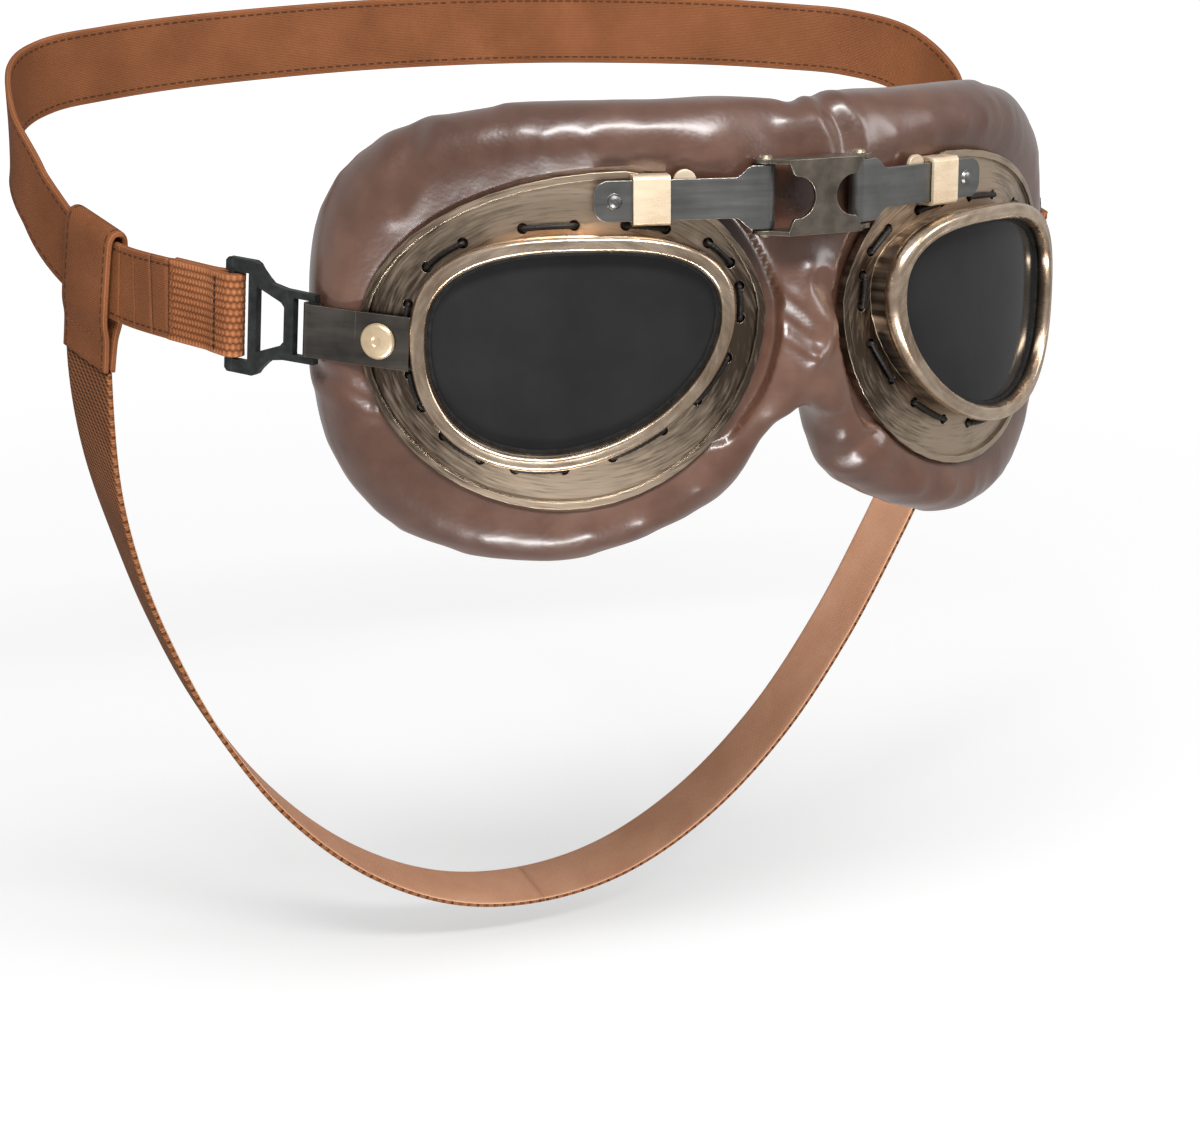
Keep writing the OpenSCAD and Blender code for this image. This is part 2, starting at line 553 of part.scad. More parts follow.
// Chin strap: hangs in one plane and loops around the head strap at both ends
loop_at = back_route[1];
loop_dir = unit(back_route[2] - back_route[0]);
loop_out = unit(cross(loop_dir, [0, 0, 1]));
loop_lean = [-1, 3, -20];
loop_down = unit(loop_lean - loop_out * (loop_out * loop_lean));
loop_hi = strap_w / 2 / sin(acos(loop_dir * loop_down)) + 1.6;
loop_in = strap_t / 2 + 0.7;
loop_tail = 12;
chin_top = loop_at + loop_down * (loop_hi + loop_tail + air);
chin_route = [chin_top, [131.5, 123.5, -42], [124.5, 129, -66], [113.5, 134.5, -94],
  [98, 139, -124], [78, 142, -152], [53, 144, -174], [27, 145, -187], [0, 145, -191]];
chin_across = unit([0, 191, 31]);
chin_half = [for (i = [0 : len(chin_route) - 2], s = [0 : back_steps - 1])
  let (m = len(chin_route), p0 = i == 0 ? chin_top - loop_down * 20 : chin_route[i - 1],
       p3 = i + 2 < m ? chin_route[i + 2] : flip(chin_route[m - 2]))
  curve(p0, chin_route[i], chin_route[i + 1], p3, s / back_steps)];
chin_path = concat(chin_half, [chin_route[len(chin_route) - 1]],
  [for (i = [len(chin_half) - 1 : -1 : 0]) flip(chin_half[i])]);
function chin_side(j) =
  let (p = chin_path[j], s = p[0] < 0 ? -1 : 1, q = [s * p[0], p[1], p[2]],
       d = heading(chin_path, j, loop_down, flip(-loop_down)),
       full = unit(chin_across - d * (d * chin_across)),
       near = [s * loop_dir[0], loop_dir[1], loop_dir[2]])
  unit(mix(near, full, smooth(norm(q - chin_top) / 70)));
module chin_strap() color([0.55, 0.33, 0.20])
  ribbon(chin_path, chin_w, chin_t, loop_down, flip(-loop_down),
    [for (j = [0 : len(chin_path) - 1]) chin_side(j)]);
loop_shape = [[[-loop_hi, 1], [-loop_hi - loop_tail, chin_t]],
  [[-loop_hi + 1, loop_in], [-loop_hi - 3, chin_t + 0.3]],
  [[-loop_hi * 0.6, loop_in], [-loop_hi * 0.6, loop_in + chin_t]],
  [[loop_hi * 0.85, loop_in], [loop_hi * 0.85, loop_in + chin_t]],
  [[loop_hi, loop_in * 0.5], [loop_hi + chin_t * 0.8, loop_in * 0.5 + chin_t * 0.5]],
  [[loop_hi, -loop_in * 0.5], [loop_hi + chin_t * 0.8, -loop_in * 0.5 - chin_t * 0.5]],
  [[loop_hi * 0.85, -loop_in], [loop_hi * 0.85, -loop_in - chin_t]],
  [[-loop_hi * 0.6, -loop_in], [-loop_hi * 0.6, -loop_in - chin_t]],
  [[-loop_hi + 1, -loop_in], [-loop_hi - 3, -chin_t - 0.3]],
  [[-loop_hi, -1], [-loop_hi - loop_tail, -chin_t]]];
function loop_pt(q, s) = loop_at - loop_down * q[0] + loop_out * q[1] + loop_dir * s * chin_w / 2;
module loop_body() skin([for (q = loop_shape)
  [loop_pt(q[0], -1), loop_pt(q[0], 1), loop_pt(q[1], 1), loop_pt(q[1], -1)]], true);
module chin_loop_right() color([0.55, 0.33, 0.20]) both(1) loop_body();
module chin_loop_left() color([0.55, 0.33, 0.20]) both(-1) loop_body();

// Cushion ring behind each frame: crowned, drawn in under the flange's edge
pad_front = -sheet_t - air;
eye_line = lens_line(-1.2, 11);
rim_line = flange_line(0, 11);
pad_nose_z = -14;
pad_line = outline([pad_temple, 0], [-14, pad_top], [-60, pad_nose_z],
  [4, -pad_bottom], pad_full, 11);
pad_shape = [[0, 0.10, 0], [0, 0.5, 0], [0.55, 1, 0], [1, 0.3, 0.03], [1, 0.75, 0.16],
  [1, 1, 0.42], [1, 0.86, 0.72], [1, 0.45, 0.93], [0, 0.7, 1], [0, 0.25, 0.9],
  [0, 0, 0.62], [0, 0, 0.25]];
function nose_local(w, goal, x, n) = n == 0 ? x : nose_local(w, goal, (goal - cup_x
  + (bend_r - sqrt(pow(bend_r + w, 2) - x * x)) * sin(cup_toe)) / cos(cup_toe), n - 1);
function pad_point(i, k) =
  let (q = pad_shape[k], a = eye_line[i], b = rim_line[i], c = pad_line[i],
       f = q[0] == 0 ? mix(a, b, q[1]) : q[0] < 1 ? mix(b, c, 0.06) : mix(b, c, q[1]),
       w = pad_front - q[2] * pad_depth, limit = nose_half + air / 2,
       here = cup_pt(cup_local(f[0], f[1], w))[0], goal = limit + 0.6 + 0.02 * (here - limit))
  cup_pt(cup_local(here < goal ? nose_local(w, goal, f[0], 6) : f[0], f[1], w));
module cushion_body() skin([for (i = [len(pad_line) - 1 : -1 : 0])
  [for (k = [0 : len(pad_shape) - 1]) pad_point(i, k)]], true);
module cushion_right() color([0.36, 0.20, 0.15]) both(1) cushion_body();
module cushion_left() color([0.36, 0.20, 0.15]) both(-1) cushion_body();

// Nose part of the cushion, drawn in at its middle above and notched below
nose_end = nose_half - air / 2;
nose_flat = -7.4;
nose_mid = 6;
nose_front = [[-16, -5], [-15, -9.5], [-9, -14], [2, -15.5], [13, -14.6], [20, -12], [24.5, -9.6],
  [34, -9.5], [43.5, -9.6], [47, -11], [52, -10], [55.5, -5]];
nose_back = [[55.5, 1], [50, 3], [36, 2.5], [20, 1.6], [6, 0.8], [-6, 0.4], [-13, -0.8]];
function nose_ring(x) =
  let (s = abs(x) / nose_end, low = 14 * pow(s, 1.6), top = -1.6 * pow(1 - s, 2),
       f = smooth(abs(x) / (flange_inner - 1)))
  [for (q = concat(nose_front, nose_back))
    let (z = q[0] < nose_mid ? q[0] - low * (nose_mid - q[0]) / (nose_mid - nose_front[0][0])
           : q[0] + (q[0] > 40 ? top : 0),
         front = q[1] < -5.5 && q[0] < 55)
    [x, front ? mix(q[1], max(q[1], nose_flat), f) : q[1] + (q[1] > -1 ? 7 * s * s : 0), z]];
flange_inner = cup_pt(cup_local(-flange_nose, nose_rise, 0))[0];
module nose_cushion() color([0.36, 0.20, 0.15])
  skin([for (i = [-6 : 6]) nose_ring(nose_end * i / 6)], false);

bridge_plate();
hinge_pin_left();
hinge_pin_right();
nose_cushion();
head_strap();
chin_strap();
chin_loop_left();
chin_loop_right();
strap_side_left();
strap_side_right();
frame_left();
frame_right();
bezel_left();
bezel_right();
lens_left();
lens_right();
gasket_left();
gasket_right();
lacing_left();
lacing_right();
arm_left();
arm_right();
keeper_left();
keeper_right();
side_tab_left();
side_tab_right();
tab_rivet_left();
tab_rivet_right();
buckle_left();
buckle_right();
strap_end_left();
strap_end_right();
cushion_left();
cushion_right();
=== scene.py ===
import math

import bmesh
import bpy
import numpy as np
from mathutils import Matrix, Vector
from mathutils.kdtree import KDTree


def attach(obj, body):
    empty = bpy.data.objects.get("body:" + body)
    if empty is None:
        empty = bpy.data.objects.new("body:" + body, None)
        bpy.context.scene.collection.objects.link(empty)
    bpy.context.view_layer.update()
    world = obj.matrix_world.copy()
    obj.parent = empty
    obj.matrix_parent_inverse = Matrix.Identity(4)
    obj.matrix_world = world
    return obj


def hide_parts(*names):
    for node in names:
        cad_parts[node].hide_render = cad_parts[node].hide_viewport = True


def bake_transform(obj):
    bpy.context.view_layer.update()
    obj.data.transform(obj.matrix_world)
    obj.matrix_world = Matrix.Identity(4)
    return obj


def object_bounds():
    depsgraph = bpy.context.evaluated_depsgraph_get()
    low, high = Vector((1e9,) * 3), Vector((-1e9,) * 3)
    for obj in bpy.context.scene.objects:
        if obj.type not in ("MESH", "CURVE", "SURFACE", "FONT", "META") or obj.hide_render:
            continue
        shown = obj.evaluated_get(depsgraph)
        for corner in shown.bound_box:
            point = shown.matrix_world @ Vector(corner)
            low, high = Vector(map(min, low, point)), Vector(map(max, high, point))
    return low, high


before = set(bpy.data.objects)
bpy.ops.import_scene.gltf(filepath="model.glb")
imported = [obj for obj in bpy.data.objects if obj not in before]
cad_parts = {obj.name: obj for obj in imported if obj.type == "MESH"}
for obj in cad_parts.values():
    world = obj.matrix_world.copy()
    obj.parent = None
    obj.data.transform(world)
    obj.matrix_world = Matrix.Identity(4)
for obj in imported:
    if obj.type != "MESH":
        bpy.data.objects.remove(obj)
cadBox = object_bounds()
scene = bpy.context.scene
mm = 0.001
print("frame loaded with", len(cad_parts), "nodes")

# Sizes in millimetres, the same as in the part's source.
cup = {"x": 53.0, "y": 2.3, "toe": 25.4, "bend": 130.0, "lensW": 66.0, "lensH": 46.0,
       "collarH": 4.8, "bezelW": 3.9, "bezelH": 3.4, "holeLine": 5.2, "holes": 22, "lace": 0.6}
tab = {"z": 1.2, "end": 49.7, "rivetX": 43.85, "leg": 11.5, "rise": 4.0,
       "bead": 0.8, "thick": 1.2, "eyeOut": 2.3}
buckle = {"turn": 9.0, "length": 23.5, "barR": 1.2}
strap = {"wide": 20.0, "thick": 1.6, "turn": 9.0, "sewn": 21.0, "gap": 0.3, "stitch": 8.2}


def cosd(a):
    return np.cos(np.radians(a))


def sind(a):
    return np.sin(np.radians(a))


def unit(v):
    v = np.asarray(v, float)
    return v / np.linalg.norm(v, axis=-1, keepdims=True)


def smooth(t):
    t = np.clip(t, 0, 1)
    return t * t * (3 - 2 * t)


def turnZ(p, a):
    p = np.asarray(p, float)
    return np.stack([p[..., 0] * cosd(a) - p[..., 1] * sind(a),
                     p[..., 0] * sind(a) + p[..., 1] * cosd(a), p[..., 2]], -1)


def turnY(p, a):
    p = np.asarray(p, float)
    return np.stack([p[..., 0] * cosd(a) + p[..., 2] * sind(a), p[..., 1],
                     p[..., 2] * cosd(a) - p[..., 0] * sind(a)], -1)


# A closed outline of four quarters between its extremes, at angles in degrees.
def outline(e, t, n, b, full, angles):
    out = []
    for a in angles:
        q = int(a // 90) % 4
        cx, cz = [(t[0], e[1]), (t[0], n[1]), (b[0], n[1]), (b[0], e[1])][q]
        rx = [e[0] - t[0], t[0] - n[0], b[0] - n[0], e[0] - b[0]][q]
        rz = [t[1] - e[1], t[1] - n[1], n[1] - b[1], e[1] - b[1]][q]
        k = (abs(cosd(a)) ** full[q] + abs(sind(a)) ** full[q]) ** (-1 / full[q])
        out.append([cx + rx * k * cosd(a), cz + rz * k * sind(a)])
    return np.array(out)


def lensLine(d, angles):
    w, h = cup["lensW"] / 2 + d, cup["lensH"] / 2 + d
    return outline([w, 1], [-5, h], [-w, 8], [7, -h], [2.7, 2.65, 1.8, 2.25], angles)


def flangeLine(d, angles):
    return outline([49.2 + d, 2], [-12, 40.2 + d], [-44 - d, 8], [3, -37.2 - d],
                   [2, 1.6, 2, 2], angles)


# A point of the right cup at place x, height z and height w over the bent flange.
def cupPoint(x, z, w):
    x, z, w = np.broadcast_arrays(np.asarray(x, float), np.asarray(z, float),
                                  np.asarray(w, float))
    y = cup["bend"] - np.sqrt((cup["bend"] + w) ** 2 - x * x)
    return turnZ(np.stack([x, y, z], -1), cup["toe"]) + [cup["x"], cup["y"], 0]


def tabPoint(p):
    turn = math.degrees(math.asin(tab["end"] / cup["bend"]))
    lift = tab["z"] + (tab["end"] - tab["rivetX"]) * sind(tab["rise"])
    q = turnY(p, -tab["rise"]) + [0, -tab["bead"], lift]
    q = turnZ(q - [0, cup["bend"], 0], turn) + [0, cup["bend"], 0]
    return turnZ(q, cup["toe"]) + [cup["x"], cup["y"], 0]


def bucklePoint(p):
    return tabPoint(turnZ(p, buckle["turn"]) + [tab["leg"], tab["eyeOut"] - tab["thick"], 0])


def strapPoint(p):
    return bucklePoint(turnZ(p, strap["turn"]) + [buckle["length"], 0, 0])


def flip(p):
    return np.asarray(p, float) * [-1, 1, 1]


# A smooth curve through points, with the ghost points before and after it.
def curveThrough(points, before, after, steps):
    p = [before, *points, after]
    out = []
    for i in range(1, len(p) - 2):
        a, b, c, d = (np.asarray(v, float) for v in p[i - 1:i + 3])
        for s in range(steps):
            t = s / steps
            out.append(0.5 * (2 * b + (c - a) * t + (2 * a - 5 * b + 4 * c - d) * t * t
                              + (3 * b - a - 3 * c + d) * t ** 3))
    out.append(np.asarray(points[-1], float))
    return np.array(out)


def pathLengths(path):
    return np.append(0, np.cumsum(np.linalg.norm(np.diff(path, axis=0), axis=1)))


def resample(path, step):
    s = pathLengths(path)
    n = max(2, int(round(s[-1] / step)) + 1)
    at = np.linspace(0, s[-1], n)
    return np.stack([np.interp(at, s, path[:, k]) for k in range(3)], 1)


def headings(path, first=None, last=None):
    d = unit(np.gradient(path, axis=0))
    if first is not None:
        d[0] = first
    if last is not None:
        d[-1] = last
    return d


# Meshes are made in millimetres and stored in metres.
def makePiece(name, points, faces, mats, faceMats=None, uvs=None):
    mesh = bpy.data.meshes.new(name)
    mesh.from_pydata((np.asarray(points, float) * mm).tolist(), [], [list(f) for f in faces])
    for m in mats:
        mesh.materials.append(m)
    if faceMats is not None:
        mesh.polygons.foreach_set("material_index", np.asarray(faceMats, np.int32))
    if uvs is not None:
        layer = mesh.uv_layers.new(name="UVMap")
        flat = np.array([uvs[v] for f in faces for v in f], float) * mm
        layer.data.foreach_set("uv", flat.astype(np.float32).ravel())
    mesh.polygons.foreach_set("use_smooth", [len(f) <= 4 for f in faces])
    mesh.update()
    obj = bpy.data.objects.new(name, mesh)
    scene.collection.objects.link(obj)
    return obj


# Rings of points joined to a skin: closed along, or capped at both ends.
def skin(rings, closed=False, start=0):
    n, m = len(rings), len(rings[0])
    points = [p for r in rings for p in r]
    faces = []
    for i in range(n if closed else n - 1):
        for j in range(m):
            a, b = i * m + j, i * m + (j + 1) % m
            c, d = ((i + 1) % n) * m + (j + 1) % m, ((i + 1) % n) * m + j
            faces.append([a + start, b + start, c + start, d + start])
    if not closed:
        faces.append([j + start for j in range(m - 1, -1, -1)])
        faces.append([(n - 1) * m + j + start for j in range(m)])
    return points, faces


def tube(path, radius, sides, start=0):
    path = np.asarray(path, float)
    d = headings(path)
    ref = np.array([0, 0, 1.0])
    rings = []
    for i, p in enumerate(path):
        r = radius[i] if hasattr(radius, "__len__") else radius
        u = np.cross(d[i], ref)
        if np.linalg.norm(u) < 1e-3:
            u = np.cross(d[i], [1.0, 0.1, 0])
        u = unit(u)
        v = np.cross(u, d[i])
        rings.append([p + r * (u * cosd(q) + v * sind(q))
                      for q in np.arange(sides) * 360 / sides])
    return skin(rings, start=start)


# Each material is built from nodes, in the object's own space or on its UVs.
def newMaterial(name, color, rough, metal=0.0):
    mat = bpy.data.materials.new(name)
    mat.use_nodes = True
    shader = mat.node_tree.nodes["Principled BSDF"]
    shader.inputs["Base Color"].default_value = (*color, 1)
    shader.inputs["Roughness"].default_value = rough
    shader.inputs["Metallic"].default_value = metal
    mat.diffuse_color = (*color, 1)
    return mat, mat.node_tree, shader


def addNode(tree, kind, **values):
    node = tree.nodes.new(kind)
    for key, value in values.items():
        if key in node.inputs:
            if hasattr(value, "bl_idname"):
                tree.links.new(value, node.inputs[key])
            else:
                node.inputs[key].default_value = value
        else:
            setattr(node, key, value)
    return node


def mathNode(tree, operation, a, b=0.0, c=0.0):
    node = tree.nodes.new("ShaderNodeMath")
    node.operation = operation
    for i, value in enumerate((a, b, c)):
        if isinstance(value, (int, float)):
            node.inputs[i].default_value = value
        else:
            tree.links.new(value, node.inputs[i])
    return node.outputs[0]


def ramp(tree, factor, stops):
    node = tree.nodes.new("ShaderNodeValToRGB")
    tree.links.new(factor, node.inputs[0])
    while len(node.color_ramp.elements) < len(stops):
        node.color_ramp.elements.new(0.5)
    for element, (at, color) in zip(node.color_ramp.elements, stops):
        element.position = at
        element.color = (*color, 1) if len(color) == 3 else color
    return node.outputs[0]


def grey(v):
    return (v, v, v)


def times(tree, a, b):
    return mathNode(tree, "MULTIPLY", a, b)


def timesPlus(tree, a, b, c):
    return mathNode(tree, "MULTIPLY_ADD", a, b, c)


def objectSpace(tree, stretch=(1, 1, 1)):
    coords = tree.nodes.new("ShaderNodeTexCoord").outputs["Object"]
    return addNode(tree, "ShaderNodeMapping", Vector=coords, Scale=stretch).outputs[0]


def noiseOf(tree, vector, scale, detail, rough=0.55):
    return addNode(tree, "ShaderNodeTexNoise", Vector=vector, Scale=scale, Detail=detail,
                   Roughness=rough).outputs[0]


def bump(tree, shader, height, distance, strength, normal=None):
    node = addNode(tree, "ShaderNodeBump", Height=height, Distance=distance, Strength=strength)
    if normal is not None:
        tree.links.new(normal, node.inputs["Normal"])
    tree.links.new(node.outputs[0], shader.inputs["Normal"])


# Wear and painted light of the metals: scale of the patina's clouds, width of the recesses that
# get patina and painted shade and of the corners that get wear and a painted edge highlight,
# depth of the brush marks in millimetres, and how much taller than wide the brushing runs.
metalWear = {"cloud": 80.0, "hollow": 2.5, "corner": 0.25, "brush": 0.02, "oval": 1.3,
             "samples": 4, "recessDark": 0.22, "roughSpread": 0.22}


# Directions that run round each cup: streaks follow the angle. The second value is a painted
# sheen, the highlight of the circular brushing put into the colour: 1 above and below the lens, 0
# beside it.
def ringSpace(tree, across, along):
    split = addNode(tree, "ShaderNodeSeparateXYZ")
    tree.links.new(tree.nodes.new("ShaderNodeTexCoord").outputs["Object"], split.inputs[0])
    side = mathNode(tree, "SUBTRACT", mathNode(tree, "ABSOLUTE", split.outputs[0]),
                    cup["x"] * mm)
    deep = mathNode(tree, "SUBTRACT", split.outputs[1], cup["y"] * mm)
    flat = timesPlus(tree, side, float(cosd(cup["toe"])),
                     times(tree, deep, float(sind(cup["toe"]))))
    tall = times(tree, split.outputs[2], metalWear["oval"])
    radius = mathNode(tree, "SQRT", timesPlus(tree, flat, flat, times(tree, tall, tall)))
    angle = mathNode(tree, "ARCTAN2", tall, flat)
    join = tree.nodes.new("ShaderNodeCombineXYZ")
    tree.links.new(times(tree, radius, across), join.inputs[0])
    for axis, wave in ((1, "COSINE"), (2, "SINE")):
        tree.links.new(times(tree, mathNode(tree, wave, angle), along), join.inputs[axis])
    twice = mathNode(tree, "COSINE", times(tree, angle, 2.0))
    return join.outputs[0], timesPlus(tree, twice, -0.5, 0.5)


def mixColor(tree, factor, a, b):
    mix = addNode(tree, "ShaderNodeMix", data_type="RGBA")
    for socket, value in ((mix.inputs[0], factor), (mix.inputs[6], a), (mix.inputs[7], b)):
        if isinstance(value, tuple):
            socket.default_value = (*value, 1)
        else:
            tree.links.new(value, socket)
    return mix.outputs[2]


# Antiqued metal: brushed streaks, cloudy patina, recesses darkened by patina and painted shade,
# bright edges from wear and a painted highlight, and on the cups a painted sheen of the circular
# brushing.
def antiqueMetal(name, dark, light, edge, rough, streak=None, ring=None, patina=0.5,
                 metal=1.0, fanShare=0.30, recess=0.6):
    mat, tree, shader = newMaterial(name, light, rough, metal)
    cloud = noiseOf(tree, objectSpace(tree), metalWear["cloud"], 3.0)
    if ring:
        vector, paintedSheen = ringSpace(tree, *ring)
        fine = noiseOf(tree, vector, 1.0, 5.0, 0.6)
    else:
        fine = noiseOf(tree, objectSpace(tree, streak), 1.0, 6.0, 0.62)
    both = timesPlus(tree, fine, 1 - patina, times(tree, cloud, patina))
    if ring:
        # Painted sheen: the brushing's highlight above and below each lens is painted into the
        # colour here.
        both = timesPlus(tree, paintedSheen, fanShare, mathNode(tree, "SUBTRACT", both, fanShare / 2))
    body = ramp(tree, both, [(0.34, dark), (0.66, light)])
    # Patina and painted shade: where the AO node finds a recess, the colour is darkened towards a
    # deep tone of the dark colour.
    hollow = addNode(tree, "ShaderNodeAmbientOcclusion", samples=metalWear["samples"],
                     Distance=metalWear["hollow"] * mm)
    deep = ramp(tree, hollow.outputs["AO"], [(0.25, grey(recess)), (0.80, grey(0.0))])
    body = mixColor(tree, deep, body, tuple(metalWear["recessDark"] * v for v in dark))
    # Wear and painted edge highlight: where the Bevel node's normal turns away from the face, the
    # colour goes towards the bright edge colour, patchy with the clouds.
    bevel = addNode(tree, "ShaderNodeBevel", samples=metalWear["samples"],
                    Radius=metalWear["corner"] * mm)
    dot = addNode(tree, "ShaderNodeVectorMath", operation="DOT_PRODUCT")
    tree.links.new(bevel.outputs[0], dot.inputs[0])
    tree.links.new(tree.nodes.new("ShaderNodeNewGeometry").outputs["Normal"], dot.inputs[1])
    edgeWearAndHighlight = ramp(tree, dot.outputs["Value"], [(0.80, grey(1.0)), (0.97, grey(0.0))])
    edgeWearAndHighlight = times(tree, edgeWearAndHighlight, ramp(tree, cloud, [(0.30, grey(0.45)), (0.6, grey(1.0))]))
    tree.links.new(mixColor(tree, edgeWearAndHighlight, body, edge), shader.inputs["Base Color"])
    spread = metalWear["roughSpread"]
    tree.links.new(timesPlus(tree, fine, spread, rough - spread / 2), shader.inputs["Roughness"])
    bump(tree, shader, fine, metalWear["brush"] * mm, 0.6, bevel.outputs[0])
    return mat


# Glossy leatherette: pebbled grain, soft wrinkles and worn lighter patches. Warp and relief
# are in millimetres, the others are noise scales and shader values.
leatherLook = {"plain": (0.16, 0.08, 0.06), "dark": (0.056, 0.022, 0.013),
               "mid": (0.090, 0.039, 0.024), "light": (0.138, 0.068, 0.043), "tone": 18.0,
               "mottle": 150.0, "cells": 950.0, "warpScale": 700.0, "warp": 0.7,
               "wrinkle": 110.0, "relief": 0.11, "spec": 0.60, "coat": 0.65, "coatRough": 0.22}


def leatherMaterial():
    look = leatherLook
    mat, tree, shader = newMaterial("brownLeather", look["plain"], 0.3)
    space = objectSpace(tree)
    tone = noiseOf(tree, space, look["tone"], 4.0)
    mottle = noiseOf(tree, space, look["mottle"], 5.0)
    both = timesPlus(tree, mottle, 0.30, times(tree, tone, 0.70))
    shades = [(0.33, look["dark"]), (0.52, look["mid"]), (0.72, look["light"])]
    tree.links.new(ramp(tree, both, shades), shader.inputs["Base Color"])
    drift = addNode(tree, "ShaderNodeTexNoise", Vector=space, Scale=look["warpScale"])
    warp = addNode(tree, "ShaderNodeVectorMath", operation="MULTIPLY_ADD")
    tree.links.new(drift.outputs["Color"], warp.inputs[0])
    warp.inputs[1].default_value = (look["warp"] * mm,) * 3
    tree.links.new(space, warp.inputs[2])
    cells = addNode(tree, "ShaderNodeTexVoronoi", feature="SMOOTH_F1", Scale=look["cells"],
                    Vector=warp.outputs[0])
    wrinkle = noiseOf(tree, objectSpace(tree, (1.0, 1.0, 1.6)), look["wrinkle"], 3.0, 0.5)
    grain = timesPlus(tree, cells.outputs["Distance"], -0.8, times(tree, wrinkle, 2.6))
    tree.links.new(timesPlus(tree, mottle, 0.24, 0.26), shader.inputs["Roughness"])
    shader.inputs["Specular IOR Level"].default_value = look["spec"]
    shader.inputs["Coat Weight"].default_value = look["coat"]
    shader.inputs["Coat Roughness"].default_value = look["coatRough"]
    bump(tree, shader, grain, look["relief"] * mm, 0.5)
    return mat


# The yarn's fuzz and tone, the selvedge's place from the middle in centimetres, and the edge
# stitching: half width and length of a stitch in millimetres and its share of thread.
yarn = {"rough": 0.72, "spec": 0.18, "fuzz": 2600.0, "tone": 45.0, "selvedge": (0.91, 0.97),
        "threadHalf": 0.24, "stitchRun": 2.6, "stitchShare": 0.66, "threadDark": 0.30}


# Woven webbing on UVs in metres, u across and v along. Ribs run along or slanted, with their
# pitch, picks and depth in millimetres.
def webbingMaterial(name, dark, mid, light, pitch=0.9, slant=0.0, pick=0.62, depth=0.10,
                    stitched=False, weave=0.34):
    mat, tree, shader = newMaterial(name, mid, yarn["rough"])
    split = addNode(tree, "ShaderNodeSeparateXYZ")
    tree.links.new(tree.nodes.new("ShaderNodeTexCoord").outputs["UV"], split.inputs[0])
    u, v = split.outputs[0], split.outputs[1]
    across = timesPlus(tree, v, slant, u)
    ribs = mathNode(tree, "SINE", times(tree, across, 2 * math.pi / (pitch * mm)))
    shift = timesPlus(tree, mathNode(tree, "SIGN", ribs), math.pi / 2,
                      times(tree, v, 2 * math.pi / (pick * mm)))
    height = timesPlus(tree, mathNode(tree, "SINE", shift), 0.25,
                       times(tree, mathNode(tree, "ABSOLUTE", ribs), 0.75))
    fuzz = noiseOf(tree, objectSpace(tree), yarn["fuzz"], 3.0)
    tone = noiseOf(tree, objectSpace(tree), yarn["tone"], 4.0)
    level = timesPlus(tree, fuzz, 0.25, times(tree, tone, 0.75 - weave))
    level = timesPlus(tree, height, weave, level)
    fromMiddle = mathNode(tree, "ABSOLUTE", u)
    selvedge = ramp(tree, times(tree, fromMiddle, 100.0),
                    [(yarn["selvedge"][0], grey(0.0)), (yarn["selvedge"][1], grey(0.16))])
    level = mathNode(tree, "ADD", level, selvedge)
    color = ramp(tree, level, [(0.30, dark), (0.55, mid), (0.80, light)])
    relief = timesPlus(tree, fuzz, 0.5, height)
    if stitched:
        onLine = mathNode(tree, "COMPARE", fromMiddle, strap["stitch"] * mm,
                          yarn["threadHalf"] * mm)
        beat = mathNode(tree, "FRACT", times(tree, v, 1 / (yarn["stitchRun"] * mm)))
        thread = times(tree, onLine, mathNode(tree, "LESS_THAN", beat, yarn["stitchShare"]))
        color = mixColor(tree, times(tree, thread, 0.75), color,
                         tuple(yarn["threadDark"] * v for v in dark))
        relief = timesPlus(tree, onLine, -1.5, relief)
    tree.links.new(color, shader.inputs["Base Color"])
    shader.inputs["Specular IOR Level"].default_value = yarn["spec"]
    bump(tree, shader, relief, depth * mm, 0.8)
    return mat


# One mottled colour with a fine grain whose depth is in millimetres.
def plainMaterial(name, dark, light, rough, scale, depth, spec):
    mat, tree, shader = newMaterial(name, light, rough)
    space = objectSpace(tree)
    spots = noiseOf(tree, space, scale, 5.0, 0.6)
    tree.links.new(ramp(tree, spots, [(0.35, dark), (0.65, light)]), shader.inputs["Base Color"])
    tree.links.new(timesPlus(tree, spots, 0.16, rough - 0.08), shader.inputs["Roughness"])
    shader.inputs["Specular IOR Level"].default_value = spec
    bump(tree, shader, noiseOf(tree, space, scale * 3, 3.0), depth * mm, 0.5)
    return mat


